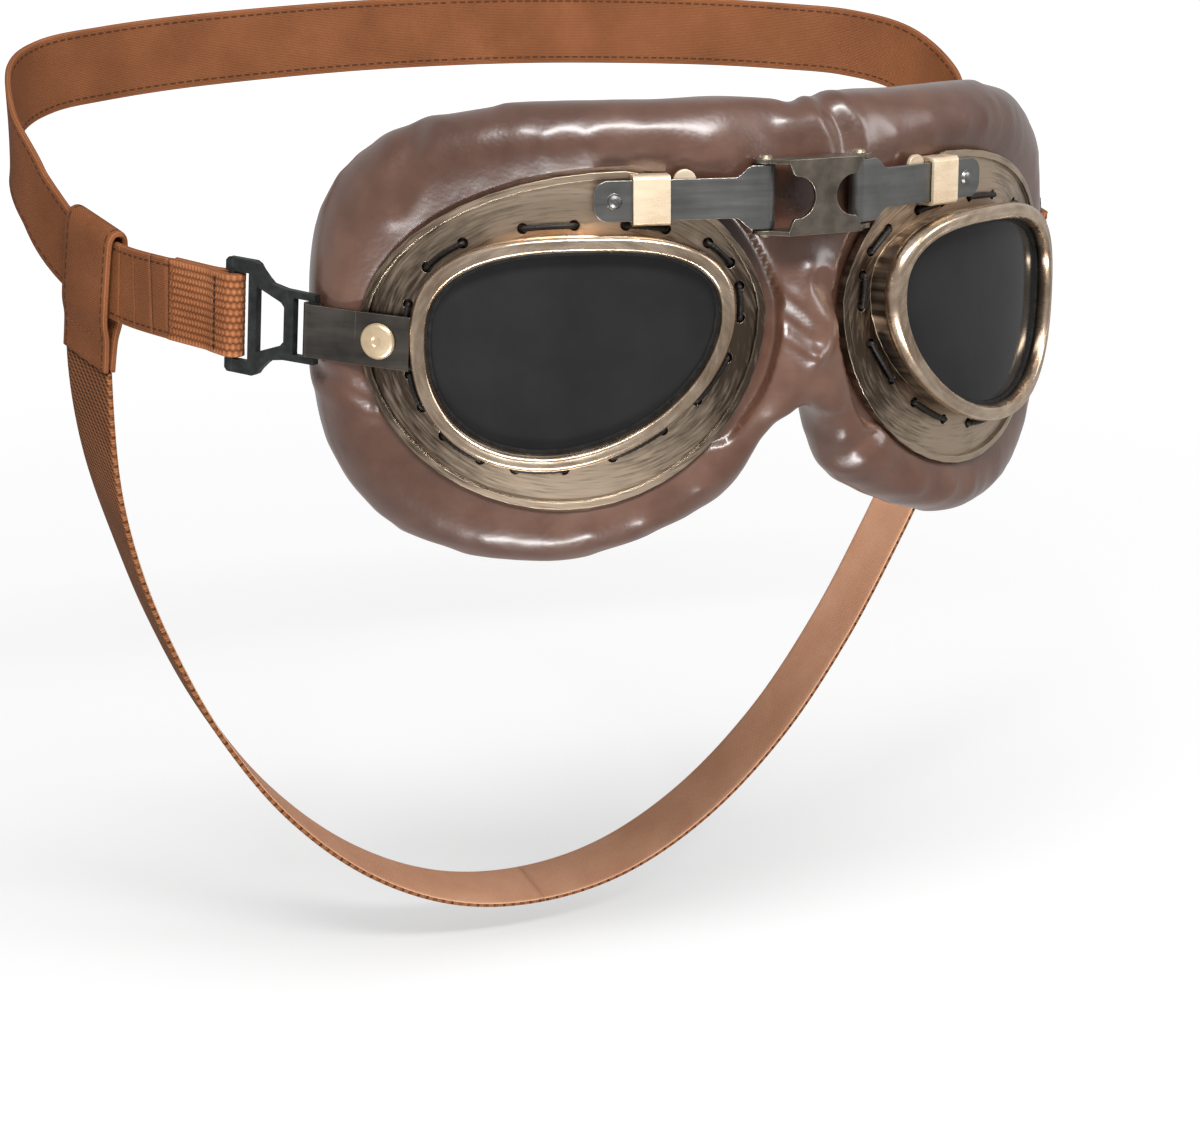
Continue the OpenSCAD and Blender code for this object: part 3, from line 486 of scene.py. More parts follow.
# Dark, light and edge colour (wear and a painted edge highlight), roughness, then what differs
# from the usual metal, such as the share of the painted sheen.
metals = {
    "bronze": ((0.115, 0.084, 0.062), (0.64, 0.50, 0.37), (0.86, 0.72, 0.54), 0.34,
               {"ring": (1500.0, 5.0), "patina": 0.35, "fanShare": 0.34, "recess": 0.85}),
    "bezelBronze": ((0.46, 0.33, 0.23), (0.88, 0.70, 0.53), (0.98, 0.86, 0.68), 0.26,
                    {"ring": (700.0, 5.0), "patina": 0.55, "fanShare": 0.16}),
    "bridgeMetal": ((0.15, 0.13, 0.105), (0.29, 0.25, 0.205), (0.80, 0.70, 0.55), 0.38,
                    {"streak": (300, 300, 300)}),
    "armMetal": ((0.17, 0.172, 0.168), (0.29, 0.288, 0.275), (0.86, 0.78, 0.66), 0.36,
                 {"streak": (40, 40, 700), "patina": 0.7}),
    "keeperBrass": ((0.66, 0.50, 0.33), (0.93, 0.77, 0.57), (1.0, 0.95, 0.84), 0.28,
                    {"streak": (60, 60, 300), "metal": 0.45}),
    "tabMetal": ((0.075, 0.070, 0.066), (0.21, 0.185, 0.160), (0.66, 0.52, 0.40), 0.30,
                 {"streak": (40, 40, 300), "patina": 0.6}),
    "rivetBrass": ((0.52, 0.39, 0.24), (0.80, 0.63, 0.42), (1.0, 0.92, 0.78), 0.34,
                   {"streak": (200, 200, 200), "metal": 0.6}),
    "pinBrass": ((0.40, 0.31, 0.22), (0.74, 0.60, 0.44), (1.0, 0.90, 0.74), 0.30,
                 {"streak": (200, 200, 200)}),
}
# Dark and light colour, roughness, scale and depth of the grain, specular level.
plains = {
    "buckleBlack": ((0.008, 0.009, 0.009), (0.020, 0.023, 0.022), 0.46, 420.0, 0.03, 0.35),
    "lensTint": ((0.014, 0.014, 0.0145), (0.020, 0.020, 0.0205), 0.10, 30.0, 0.004, 0.18),
    "gasketRubber": ((0.006, 0.006, 0.006), (0.018, 0.018, 0.018), 0.6, 600.0, 0.03, 0.3),
    "laceCord": ((0.004, 0.003, 0.003), (0.014, 0.011, 0.010), 0.45, 1500.0, 0.1, 0.35),
    "thread": ((0.08, 0.026, 0.009), (0.22, 0.08, 0.03), 0.7, 2500.0, 0.03, 0.2),
    "darkThread": ((0.010, 0.005, 0.003), (0.035, 0.016, 0.010), 0.7, 2500.0, 0.03, 0.2),
}
# Dark, middle and light colour, then what differs from plain webbing.
webbings = {
    "webbing": ((0.095, 0.031, 0.010), (0.195, 0.067, 0.024), (0.31, 0.120, 0.050),
                {"stitched": True}),
    "ribbedWebbing": ((0.10, 0.030, 0.009), (0.29, 0.100, 0.037), (0.52, 0.225, 0.100),
                      {"pitch": 3.3, "pick": 1.1, "depth": 0.2}),
    "slantWebbing": ((0.040, 0.013, 0.004), (0.155, 0.054, 0.017), (0.33, 0.130, 0.050),
                     {"pitch": 4.6, "slant": 0.8, "pick": 0.9, "depth": 0.4, "weave": 0.5}),
    "innerWebbing": ((0.50, 0.22, 0.12), (0.72, 0.38, 0.23), (0.84, 0.51, 0.34), {}),
}
finish = {"leather": leatherMaterial()}
for make, looks in ((antiqueMetal, metals), (webbingMaterial, webbings)):
    for name, (*values, more) in looks.items():
        finish[name] = make(name, *values, **more)
for name, values in plains.items():
    finish[name] = plainMaterial(name, *values)
nodeFinish = {
    "bridge_plate": "bridgeMetal", "hinge_pin": "pinBrass", "nose_cushion": "leather",
    "head_strap": "webbing", "chin_strap": "webbing", "chin_loop": "webbing",
    "strap_side": "webbing", "frame": "bronze", "bezel": "bezelBronze", "lens": "lensTint",
    "gasket": "gasketRubber", "lacing": "laceCord", "arm": "armMetal", "keeper": "keeperBrass",
    "side_tab": "tabMetal", "tab_rivet": "rivetBrass", "buckle": "buckleBlack",
    "strap_end": "webbing", "cushion": "leather",
}
for nodeName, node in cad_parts.items():
    plain = nodeName.replace("_left", "").replace("_right", "")
    for slotHolder in node.material_slots:
        slotHolder.material = finish[nodeFinish[plain]]
print("materials made:", len(finish))

# The head strap leaves the sewn end and runs round the head. The routes are listed points.
strapTail = strapPoint([strap["sewn"] + strap["gap"], -strap["thick"] / 2, 0])
strapAhead = unit(strapPoint([10.0, 0, 0]) - strapPoint([0.0, 0, 0]))
backRoute = np.array([[128.8, 99, 6.3], [133, 112, 9], [137, 125.5, 14], [140.5, 138, 24],
                      [142, 151, 36.5], [137, 167, 46.5], [125, 180, 51], [107, 188.5, 53],
                      [84, 194, 54.8], [56, 197.5, 56.2], [28, 199, 57.2], [0, 199.5, 57.5]])
leadIn = 20  # how far the ghost points before a route lie from its start
strapLine = curveThrough([strapTail, *backRoute], strapTail - strapAhead * leadIn,
                         flip(backRoute[-2]), 12)
strapDirs = headings(strapLine, strapAhead, np.array([-1.0, 0, 0]))
strapOut = unit(np.cross(strapDirs, [0, 0, 1.0]))
strapUp = np.cross(strapOut, strapDirs)
strapRun = pathLengths(strapLine)

# The chin strap: its tail is sewn to itself under the head strap, then it twists flat over
# twistRun. The loop is the folded band at its top.
chin = {"wide": 20.0, "thick": 1.6, "tail": 12.0, "twistRun": 70.0, "flat": (0, 191, 31)}
loop = {"lean": (-2.0, 5, -20), "clear": 1.6, "inside": 0.75, "seamDrop": 4.2, "endIn": 1.2,
        "stitches": 9, "stitchHalf": (0.88, 0.90)}
loopAt = backRoute[1]
loopDir = unit(backRoute[2] - backRoute[0])
loopOut = unit(np.cross(loopDir, [0, 0, 1.0]))
loopLean = np.array(loop["lean"])
loopDown = unit(loopLean - loopOut * (loopOut @ loopLean))
loopHi = strap["wide"] / 2 / math.sin(math.acos(float(loopDir @ loopDown))) + loop["clear"]
chinTop = loopAt + loopDown * (loopHi + chin["tail"] + strap["gap"])
chinRoute = [chinTop, [131.1, 124.5, -41.6], [124.8, 130.8, -65.6], [114.7, 136.7, -93.2],
             [100, 141.4, -123.6], [80.4, 144.6, -152], [56, 146.8, -174.8], [28.6, 148, -189.2],
             [0, 148.2, -193.6]]
chinLine = curveThrough(chinRoute, chinTop - loopDown * leadIn, flip(chinRoute[-2]), 14)
chinDirs = headings(chinLine, loopDown, np.array([-1.0, 0, 0]))
chinFlat = unit(chin["flat"])
laidFlat = unit(chinFlat - chinDirs * (chinDirs @ chinFlat)[:, None])
turned = smooth(np.linalg.norm(chinLine - chinTop, axis=1) / chin["twistRun"])[:, None]
chinAcross = unit(loopDir * (1 - turned) + laidFlat * turned)
chinOut = unit(np.cross(chinDirs, chinAcross))
chinRun = pathLengths(chinLine)


# Section of a woven strap: a flat with rounded selvedges. Pairs of across and out, the
# outer face first, then the inner one.
def strapSection(wide, thick, across=14):
    h, t = wide / 2, thick / 2
    top = [[a, t * (1 - 0.10 * abs(a / h) ** 6)] for a in np.linspace(h - 0.5, -h + 0.5, across)]
    left = [[-h + 0.12, t * 0.62], [-h, 0], [-h + 0.12, -t * 0.62]]
    low = [[-a, -b] for a, b in top]
    right = [[-a, -b] for a, b in left]
    return np.array(top + left + low + right), len(top), len(left)


def strapPiece(name, line, ups, outs, run, wide, thick, mats, inner=0):
    shape, nTop, nEdge = strapSection(wide, thick)
    rings = [[p + a * u + b * o for a, b in shape] for p, u, o in zip(line, ups, outs)]
    points, faces = skin(rings)
    uvs = [[a, s] for s in run for a, b in shape]
    m = len(shape)
    low = range(nTop + nEdge - 1, 2 * nTop + nEdge + 1)
    sides = (len(rings) - 1) * m
    faceMats = [inner if i < sides and i % m in low else 0 for i in range(len(faces))]
    return makePiece(name, points, faces, mats, faceMats, uvs)


# The right-hand piece and its mirror image, each with its side and sign.
def bothSides(obj):
    name = obj.name.replace("right", "left")
    mesh = obj.data.copy()
    mesh.name = name
    mesh.transform(Matrix.Diagonal((-1, 1, 1, 1)))
    mesh.flip_normals()
    twin = bpy.data.objects.new(name, mesh)
    scene.collection.objects.link(twin)
    return (obj, "right", 1), (twin, "left", -1)


def cutLine(start, end):
    between = strapRun[(strapRun > start + 0.2) & (strapRun < end - 0.2)]
    at = np.unique(np.concatenate([[start], between, [end], np.arange(start, end, 1.5)]))
    line, ups, outs = (np.stack([np.interp(at, strapRun, v[:, k]) for k in range(3)], 1)
                       for v in (strapLine, strapUp, strapOut))
    return line, unit(ups), unit(outs), at


def runAt(y):
    return float(np.interp(y, strapLine[:40, 1], strapRun[:40]))


# From the sewn end the strap is made in four runs, cut at the joints up to the bridge. The
# last one bends from beside the chin loop to the back of the head.
cuts = [0.0, runAt(86.5), runAt(94.0), runAt(100.5), strapRun[-1]]
strapNames = ["strapNearBuckle", "strapBySide", "strapByLoop", "strapBack"]
for k in range(4):
    line, ups, outs, run = cutLine(cuts[k], cuts[k + 1])
    piece = strapPiece(strapNames[k] + "_right", line, ups, outs, run, strap["wide"],
                       strap["thick"], [finish["webbing"]])
    for obj, side, s in bothSides(piece):
        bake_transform(obj)
        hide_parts("head_strap" if k == 3 else "strap_side_" + side)
print("head strap made")

chinPiece = strapPiece("chinLeg_right", chinLine, chinAcross, chinOut, chinRun, chin["wide"],
                       chin["thick"], [finish["slantWebbing"], finish["innerWebbing"]], inner=1)
for obj, side, s in bothSides(chinPiece):
    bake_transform(obj)
    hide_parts("chin_strap")
print("chin strap made")


def loopPoint(q, s):
    return loopAt - loopDown * q[0] + loopOut * q[1] + loopDir * s * chin["wide"] / 2


# The loop is one folded band round the head strap, sewn to itself below. Its outline is given
# as heights and shares of mid, the band's distance from the strap's middle.
mid = strap["thick"] / 2 + loop["inside"] + chin["thick"] / 2


def loopBand():
    t = chin["thick"]
    down = -loopHi - chin["tail"]
    front = [[down, 0.42], [down + 5, 0.46], [-loopHi - 3.2, 0.56], [-loopHi + 0.6, 0.92],
             [-loopHi * 0.6, 1], [0, 1.02], [loopHi * 0.7, 1], [loopHi * 0.93, 0.9],
             [loopHi + t * 0.42, 0.5]]
    back = [[a, -b] for a, b in front[::-1]]
    flat = [np.array([a, mid * b, 0.0]) for a, b in [*front, [loopHi + t * 0.55, 0], *back]]
    line = curveThrough(flat, flat[0] - [5, 0, 0], flat[-1] - [5, 0, 0], 5)
    line = resample(line, 0.9)
    d = headings(line)
    normal = np.stack([d[:, 1], -d[:, 0], d[:, 2] * 0], 1)
    run = pathLengths(line)
    shape = strapSection(chin["wide"], t * 0.92, 12)[0]
    rings, uvs = [], []
    for p, n, s in zip(line, normal, run):
        for a, b in shape:
            q = p - n * b
            rings.append(loopPoint(q, 0) + loopDir * a)
            uvs.append([a, s])
    m = len(shape)
    rings = [rings[i * m:(i + 1) * m] for i in range(len(line))]
    points, faces = skin(rings)
    return points, faces, uvs


# Rows of stitches: short thread humps sunk at both ends.
stitch = {"fill": 0.62, "radius": 0.26, "rise": 0.16, "sink": 0.22, "sides": 6}


def stitchRow(a, b, out, count, start):
    points, faces = [], []
    a, b, out = (np.asarray(v, float) for v in (a, b, out))
    ts = np.linspace(0, 1, 7)
    humps = np.sin(math.pi * ts)
    for i in range(count):
        p = a + (b - a) * (i + 0.5 - stitch["fill"] / 2) / count
        q = a + (b - a) * (i + 0.5 + stitch["fill"] / 2) / count
        path = [p + (q - p) * t + out * (stitch["rise"] * hump - stitch["sink"])
                for t, hump in zip(ts, humps)]
        pp, ff = tube(path, [stitch["radius"] * (0.55 + 0.45 * hump) for hump in humps],
                      stitch["sides"], start=start + len(points))
        points += pp
        faces += ff
    return points, faces


def addRow(points, faces, faceMats, uvs, row, mat):
    points += row[0]
    faces += row[1]
    faceMats += [mat] * len(row[1])
    uvs += [[0.0, 0.0]] * len(row[0])


points, faces, uvs = loopBand()
faceMats = [0] * len(faces)
seams = ((-loopHi - loop["seamDrop"], mid * 0.56 + chin["thick"] * 0.42),
         (-loopHi - chin["tail"] + loop["endIn"], mid * 0.42 + chin["thick"] * 0.46))
for s in (1, -1):
    for (level, out), half in zip(seams, loop["stitchHalf"]):
        a, b = loopPoint([level, s * out], -half), loopPoint([level, s * out], half)
        row = stitchRow(a, b, loopOut * s, loop["stitches"], len(points))
        addRow(points, faces, faceMats, uvs, row, 1)
loopPiece = makePiece("chinLoop_right_band", points, faces,
                      [finish["webbing"], finish["thread"]], faceMats, uvs)
for obj, side, s in bothSides(loopPiece):
    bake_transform(obj)
    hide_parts("chin_loop_" + side)
print("chin loops made")


# The sewn end: the strap runs out along the inside, round the bar and back, ribbed outside.
sewn = {"ribs": 12, "ribRise": 0.30, "ribFrom": 2.5, "ribRun": 3.0, "edgeIn": 0.7,
        "edgeWide": 0.55, "clear": 0.1, "seamIn": 1.4, "barSeam": 3.4, "seamHalf": 9.0}


def sewnEnd():
    t = strap["thick"]
    r = buckle["barR"] + sewn["clear"] + t / 2
    n = strap["sewn"]
    arc = [[r * cosd(a), r * sind(a)] for a in np.linspace(90, 270, 13)]
    inner = [[n, t / 2], [n - 6, t / 2], [12, t / 2], [7.4, t / 2 + 0.1], [4.6, t / 2 + 0.75],
             [2.2, r - 0.25]]
    outer = [[a, -b] for a, b in inner[::-1]]
    flat = [np.array([a, b, 0.0]) for a, b in inner + arc + outer]
    line = resample(curveThrough(flat, flat[0] + [5, 0, 0], flat[-1] + [5, 0, 0], 6), 0.7)
    d = headings(line)
    normal = np.stack([-d[:, 1], d[:, 0], d[:, 2] * 0], 1)
    run = pathLengths(line)
    half = run[-1] / 2
    h = strap["wide"] / 2
    across = np.linspace(h - 0.3, -h + 0.3, sewn["ribs"] * 8 + 1)
    rings, uvs = [], []
    for p, nv, s in zip(line, normal, run):
        lift = sewn["ribRise"] * float(smooth((s - half + sewn["ribFrom"]) / sewn["ribRun"]))
        ring = []
        for a in across:
            rib = lift * (abs(math.cos(math.pi * (a + h) / (2 * h) * sewn["ribs"])) - 0.6)
            edge = lift * math.exp(-((abs(a) - h + sewn["edgeIn"]) / sewn["edgeWide"]) ** 2)
            ring.append((a, -t / 2 - rib - edge))
        ring += [(-h, -t * 0.2), (-h, t * 0.2)]
        ring += [(a, t / 2) for a in np.linspace(-h + 0.4, h - 0.4, 14)]
        ring += [(h, t * 0.2), (h, -t * 0.2)]
        rings.append([strapPoint(p + nv * b + np.array([0, 0, a])) for a, b in ring])
        uvs += [[a, s] for a, b in ring]
    points, faces = skin(rings)
    m = len(rings[0])
    ribbed = len(line) * 0.47
    faceMats = [1 if i // m > ribbed and i % m < len(across) else 0 for i in range(len(faces))]
    return points, faces, faceMats, uvs


points, faces, faceMats, uvs = sewnEnd()
endOut = unit(strapPoint([0, -1.0, 0]) - strapPoint([0.0, 0, 0]))
for at, out, count, mat in ((strap["sewn"] - sewn["seamIn"], 1.18, 11, 2),
                            (sewn["barSeam"], 1.9, 10, 3)):
    a, b = (strapPoint([at, -strap["thick"] * out, z])
            for z in (-sewn["seamHalf"], sewn["seamHalf"]))
    addRow(points, faces, faceMats, uvs, stitchRow(a, b, endOut, count, len(points)), mat)
endLooks = [finish[look] for look in ("webbing", "ribbedWebbing", "thread", "darkThread")]
endPiece = makePiece("sewnEnd_right", points, faces, endLooks, faceMats, uvs)
for obj, side, s in bothSides(endPiece):
    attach(obj, f"strap_end_{side}_body")
    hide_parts("strap_end_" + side)
print("sewn ends made")

# The bezel's section, as shares of its width and height.
bezelShape = [[0, 0], [0, 0.32], [0.02, 0.52], [0.05, 0.68], [0.09, 0.80], [0.14, 0.90],
              [0.20, 0.97], [0.26, 1], [0.35, 0.975], [0.46, 0.96], [0.58, 0.96], [0.70, 0.97],
              [0.78, 0.95], [0.84, 0.90], [0.90, 0.81], [0.95, 0.68], [0.985, 0.52], [1, 0.36],
              [0.985, 0.18], [0.95, 0], [0.5, 0]]
turns = np.arange(0, 360, 1.5)
rings = []
lines = [lensLine(q[0] * cup["bezelW"], turns) for q in bezelShape]
for i in range(len(turns) - 1, -1, -1):
    rings.append([cupPoint(lines[k][i][0], lines[k][i][1],
                           cup["collarH"] + 0.05 + q[1] * cup["bezelH"])
                  for k, q in enumerate(bezelShape)])
points, faces = skin(rings, closed=True)
bezelPiece = makePiece("rolledBezel_right", points, faces, [finish["bezelBronze"]])
for obj, side, s in bothSides(bezelPiece):
    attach(obj, "cup_" + side)
    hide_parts("bezel_" + side)

# The lace comes up through one hole and goes down through the next.
lace = {"rise": 0.4, "clear": 0.05, "below": -0.8, "skinBelow": -0.1, "steps": 12, "sides": 10}
holes = lensLine(cup["holeLine"], np.arange(0, 360, 3))


def holeIndex(i):
    return math.floor((i + 0.25) * len(holes) / cup["holes"])


points, faces = [], []
for i in range(0, cup["holes"], 2):
    k0, k1 = holeIndex(i), holeIndex(i + 1)
    ks = np.linspace(k0, k1, lace["steps"] + 1)
    xz = np.stack([np.interp(ks, range(len(holes) + 1), np.append(holes[:, c], holes[0, c]))
                   for c in (0, 1)], 1)
    over = cup["lace"] * 0.8 + lace["clear"]
    top = [cupPoint(*p, over + lace["rise"] * math.sin(math.pi * step / lace["steps"]))
           for step, p in enumerate(xz)]
    path = [cupPoint(*xz[0], lace["below"]), cupPoint(*xz[0], lace["skinBelow"]), *top,
            cupPoint(*xz[-1], lace["skinBelow"]), cupPoint(*xz[-1], lace["below"])]
    path = curveThrough(path, path[0] * 2 - path[1], path[-1] * 2 - path[-2], 2)
    radius = [cup["lace"] * (1.05 + 0.10 * math.sin(2.1 * n + i)) for n in range(len(path))]
    pp, ff = tube(path, radius, lace["sides"], start=len(points))
    points += pp
    faces += ff
lacePiece = makePiece("runningStitch_right", points, faces, [finish["laceCord"]])
for obj, side, s in bothSides(lacePiece):
    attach(obj, "cup_" + side)
    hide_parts("lacing_" + side)
print("bezels and lacing made")

# The cushion in millimetres: reach of each cup's roll from the cup's middle, where it is cut
# at the nose, the blank's fullness, the cloth's pressure and cap, and the room beside the nose.
pad = {"front": -1.3, "depth": 18.0, "temple": 62.0, "top": 55.0, "bottom": 51.8, "split": 16.0,
       "full": 1.05, "voxel": 4.2, "pressure": 4.0, "swell": 2.2, "steps": 20, "calm": 10,
       "keep": 0.22, "room": 3.6, "under": 1.25, "gather": 0.40, "seam": 0.75,
       "noseIn": 15.0, "noseReach": 10.5, "noseSoft": 23.0}
# The roll's section: 0 lies between eye hole and flange and 1 outside the flange, then the
# share of that way, and the depth as a share of the pad's.
padShape = np.array([[0, 0.10, 0], [0, 0.5, 0], [0.55, 1, 0], [1, 0.26, -0.13], [1, 0.60, -0.12],
                     [1, 0.88, 0.08], [1, 1, 0.40], [1, 0.88, 0.72], [1, 0.45, 0.93], [0, 0.7, 1],
                     [0, 0.25, 0.9], [0, 0, 0.62], [0, 0, 0.25]])


def padLine(angles):
    return outline([pad["temple"], 0], [-14, pad["top"]], [-60, -14], [4, -pad["bottom"]],
                   [3.1, 4.5, 1.4, 2.7], angles)


# Near the nose the rings are pressed together instead of crossing the middle.
def pressIn(p):
    p = np.array(p, float)
    inside = pad["noseIn"] - p[..., 0]
    pressed = pad["noseIn"] - pad["noseReach"] * np.tanh(inside / pad["noseSoft"])
    p[..., 0] = np.where(inside > 0, pressed, p[..., 0])
    return p


def ringPad():
    angles = np.arange(0, 360, 2.5)
    eye, rim, rimOut = lensLine(-1.2, angles), flangeLine(0, angles), padLine(angles)
    rings = []
    for i in range(len(angles) - 1, -1, -1):
        section = []
        for kind, share, deep in padShape:
            if kind == 0:
                f = eye[i] + (rim[i] - eye[i]) * share
            elif kind < 1:
                f = rim[i] + (rimOut[i] - rim[i]) * 0.06
            else:
                f = rim[i] + (rimOut[i] - rim[i]) * share * pad["full"]
            section.append([f[0], f[1], pad["front"] - deep * pad["depth"] * pad["full"]])
        section = np.array(section)
        closed = curveThrough(list(section) + [section[0]], section[-1], section[1], 4)[:-1]
        rings.append(pressIn(cupPoint(closed[:, 0], closed[:, 1], closed[:, 2])))
    return skin(rings, closed=True)


# Sections of the nose part, as front-to-back place and height, from the arch up and back.
noseFront = [[-14.4, -8], [-15, -12.3], [-12, -15.8], [-5, -17.0], [4, -16.2], [13, -14.4],
             [19, -12.0], [22.8, -12.4], [25, -10.8], [28, -9.5], [34, -9.5], [43.5, -9.6],
             [47, -11], [52, -10], [55.5, -5]]
noseBack = [[55.5, 1], [50, 3], [36, 2.5], [20, 1.6], [6, 0.8], [-6, -0.6], [-12.5, -3]]


def nosePad():
    rings = []
    for x in np.linspace(-21, 21, 43):
        s = abs(x)
        drop = 0.62 * s ** 1.15
        ring = []
        for z, y in noseFront + noseBack:
            front = y < -5.5 and z < 55
            share = float(smooth(s / (24.0 if z < -4 else 12.0 + 0.4 * max(0.0, 14.0 - z))))
            if front:  # the bulge sinks to the level of the flanges
                y = y + (max(y, -7.6) - y) * share
            elif y > -1:  # the back follows the nose
                y = y + 5.5 * (s / 16) ** 2
            if z < 10:  # the arch over the nose
                z = z - drop * (10 - z) / 24.5
            elif z > 40:  # a dip in the top edge
                z = z - 1.4 * (1 - min(s / 12, 1)) ** 2
            ring.append([x, y, z])
        ring = np.array(ring)
        rings.append(curveThrough(list(ring) + [ring[0]], ring[-1], ring[1], 4)[:-1])
    return skin(rings)


def joined(parts):
    points, faces = [], []
    for p, f in parts:
        faces += [[v + len(points) for v in face] for face in f]
        points += list(p)
    return np.array(points), faces


def applyModifiers(obj):
    graph = bpy.context.evaluated_depsgraph_get()
    mesh = bpy.data.meshes.new_from_object(obj.evaluated_get(graph))
    obj.modifiers.clear()
    obj.data = mesh


def vertexArray(obj, what="co"):
    values = np.empty(len(obj.data.vertices) * 3)
    obj.data.vertices.foreach_get(what, values)
    return values.reshape(-1, 3)


def setVertices(obj, co):
    obj.data.vertices.foreach_set("co", np.asarray(co, float).ravel())
    obj.data.update()


# Evens out values held at the mesh's points, halfway to their neighbours' mean each round.
def evened(obj, values, rounds):
    edges = np.empty(len(obj.data.edges) * 2, int)
    obj.data.edges.foreach_get("vertices", edges)
    edges = edges.reshape(-1, 2)
    count = np.bincount(edges.ravel(), minlength=len(values)).astype(float)[:, None]
    for _ in range(rounds):
        total = np.zeros_like(values)
        np.add.at(total, edges[:, 0], values[edges[:, 1]])
        np.add.at(total, edges[:, 1], values[edges[:, 0]])
        values = values + (total / count - values) / 2
    return values


# Places on a cup's plane in millimetres: x, z, height over the flange, then how far
# outside the flange's edge and outside the lens's edge the point lies.
def cupPlace(co):
    p = co / mm
    p = np.stack([np.abs(p[:, 0]), p[:, 1], p[:, 2]], 1)
    q = turnZ(p - [cup["x"], cup["y"], 0], -cup["toe"])
    x, z = q[:, 0], q[:, 2]
    w = np.sqrt(x * x + (cup["bend"] - q[:, 1]) ** 2) - cup["bend"]
    angle = np.degrees(np.arctan2(z - 1, x)) % 360
    away = []
    for line in (flangeLine(0, np.arange(0, 360, 3)), lensLine(0, np.arange(0, 360, 3))):
        a = np.degrees(np.arctan2(line[:, 1] - 1, line[:, 0])) % 360
        order = np.argsort(a)
        edge = np.interp(angle, a[order], np.hypot(line[:, 0], line[:, 1] - 1)[order], period=360)
        away.append(np.hypot(x, z - 1) - edge)
    return x, z, w, away[0], away[1]


# The pad is blown up while the metal holds its front and the eye holes hold their rims.
def fillPad(obj):
    before = vertexArray(obj)
    w, fromFlange, fromLens = cupPlace(before)[2:]
    held = ((fromFlange < 1.0) & (w > -5.0)) | (fromLens < 2.0)
    group = obj.vertex_groups.new(name="held")
    group.add([int(i) for i in np.flatnonzero(held)], 1.0, "REPLACE")
    cloth = obj.modifiers.new("fill", "CLOTH")
    settings = cloth.settings
    settings.use_pressure = True
    settings.uniform_pressure_force = pad["pressure"]
    settings.effector_weights.gravity = 0.0
    settings.vertex_group_mass = "held"
    settings.quality = 6
    settings.tension_stiffness = settings.compression_stiffness = 12.0
    settings.bending_stiffness = 0.3
    cloth.point_cache.frame_start, cloth.point_cache.frame_end = 1, pad["steps"]
    for step in range(1, pad["steps"] + 1):
        scene.frame_set(step)
    applyModifiers(obj)
    scene.frame_set(1)
    obj.vertex_groups.clear()
    move = vertexArray(obj) - before
    far = np.linalg.norm(move, axis=1, keepdims=True)
    print("cloth moved the pad by", round(float(far.mean() / mm), 2), "mm, at most",
          round(float(far.max() / mm), 2))
    move *= np.minimum(1.0, pad["swell"] * mm / np.maximum(far, 1e-9))
    calm = evened(obj, move, pad["calm"])
    setVertices(obj, before + calm + (move - calm) * pad["keep"])


# Folds and puckers: a line on the pad in millimetres, its depth, its width and the height of
# the leather that it pushes up beside it.
def foldDistance(co, line):
    flat = np.array([1, 0.45, 1])
    best = np.full(len(co), 1e9)
    co = co * flat
    for a, b in zip(line[:-1], line[1:]):
        a, b = np.asarray(a, float) * flat, np.asarray(b, float) * flat
        t = np.clip(((co - a) @ (b - a)) / ((b - a) @ (b - a)), 0, 1)
        best = np.minimum(best, np.linalg.norm(co - a - t[:, None] * (b - a), axis=1))
    return best


folds = [
    ([[-13, -9, 11.5], [-8, -12.5, 7.5], [-3.5, -16, 3.5], [0, -17, 1]], 1.0, 2.2, 0.9),
    ([[3, -15, 13], [8, -11.5, 8], [13, -8.5, 3]], 0.7, 2.2, 0.7),
    ([[7, -3, 57], [8, -8.5, 52], [10.5, -9.5, 47], [11, -9, 43]], 0.9, 2.4, 0.5),
    ([[-80, 27, 51], [-82.5, 23.5, 45.5], [-85.5, 26.5, 36.5], [-86, 29, 33]], 0.9, 2.2, 0.35),
    ([[-101, 46, -6.5], [-97, 39, -9], [-91, 33, -13]], 0.9, 2.0, 0.6),
    ([[96, 42, 50], [97.5, 38.5, 43.5], [94, 33.5, 38]], 0.7, 2.2, 0.4),
    ([[103, 48, -12], [97.5, 40, -15.5], [92, 34, -17]], 0.8, 2.0, 0.5),
    ([[14, -7, -30], [17, -7.5, -27], [21, -6.5, -24]], 0.7, 2.4, 0.4),
]


# Small gathers all round the eye holes at the back, where the leather is drawn in and glued.
def gathers(co, depth):
    x, z, w, _, fromLens = cupPlace(co)
    angle = np.arctan2(z - 1, x)
    waves = np.sin(17 * angle + 1.3 * np.sin(3 * angle)) + 0.5 * np.sin(31 * angle + 2.0)
    near = np.exp(-((fromLens - 4.0) / 6.0) ** 2) * smooth((-w - 9.0) / 5.0)
    return depth * waves * near


# The seam runs round the outside, near the back.
def seamDepth(co):
    w, fromFlange = cupPlace(co)[2:4]
    outside = smooth((fromFlange - 3.0) / 3.0) * smooth((np.abs(co[:, 0]) / mm - 24.0) / 8.0)
    return outside * np.exp(-((w + 15.2) / 0.9) ** 2)


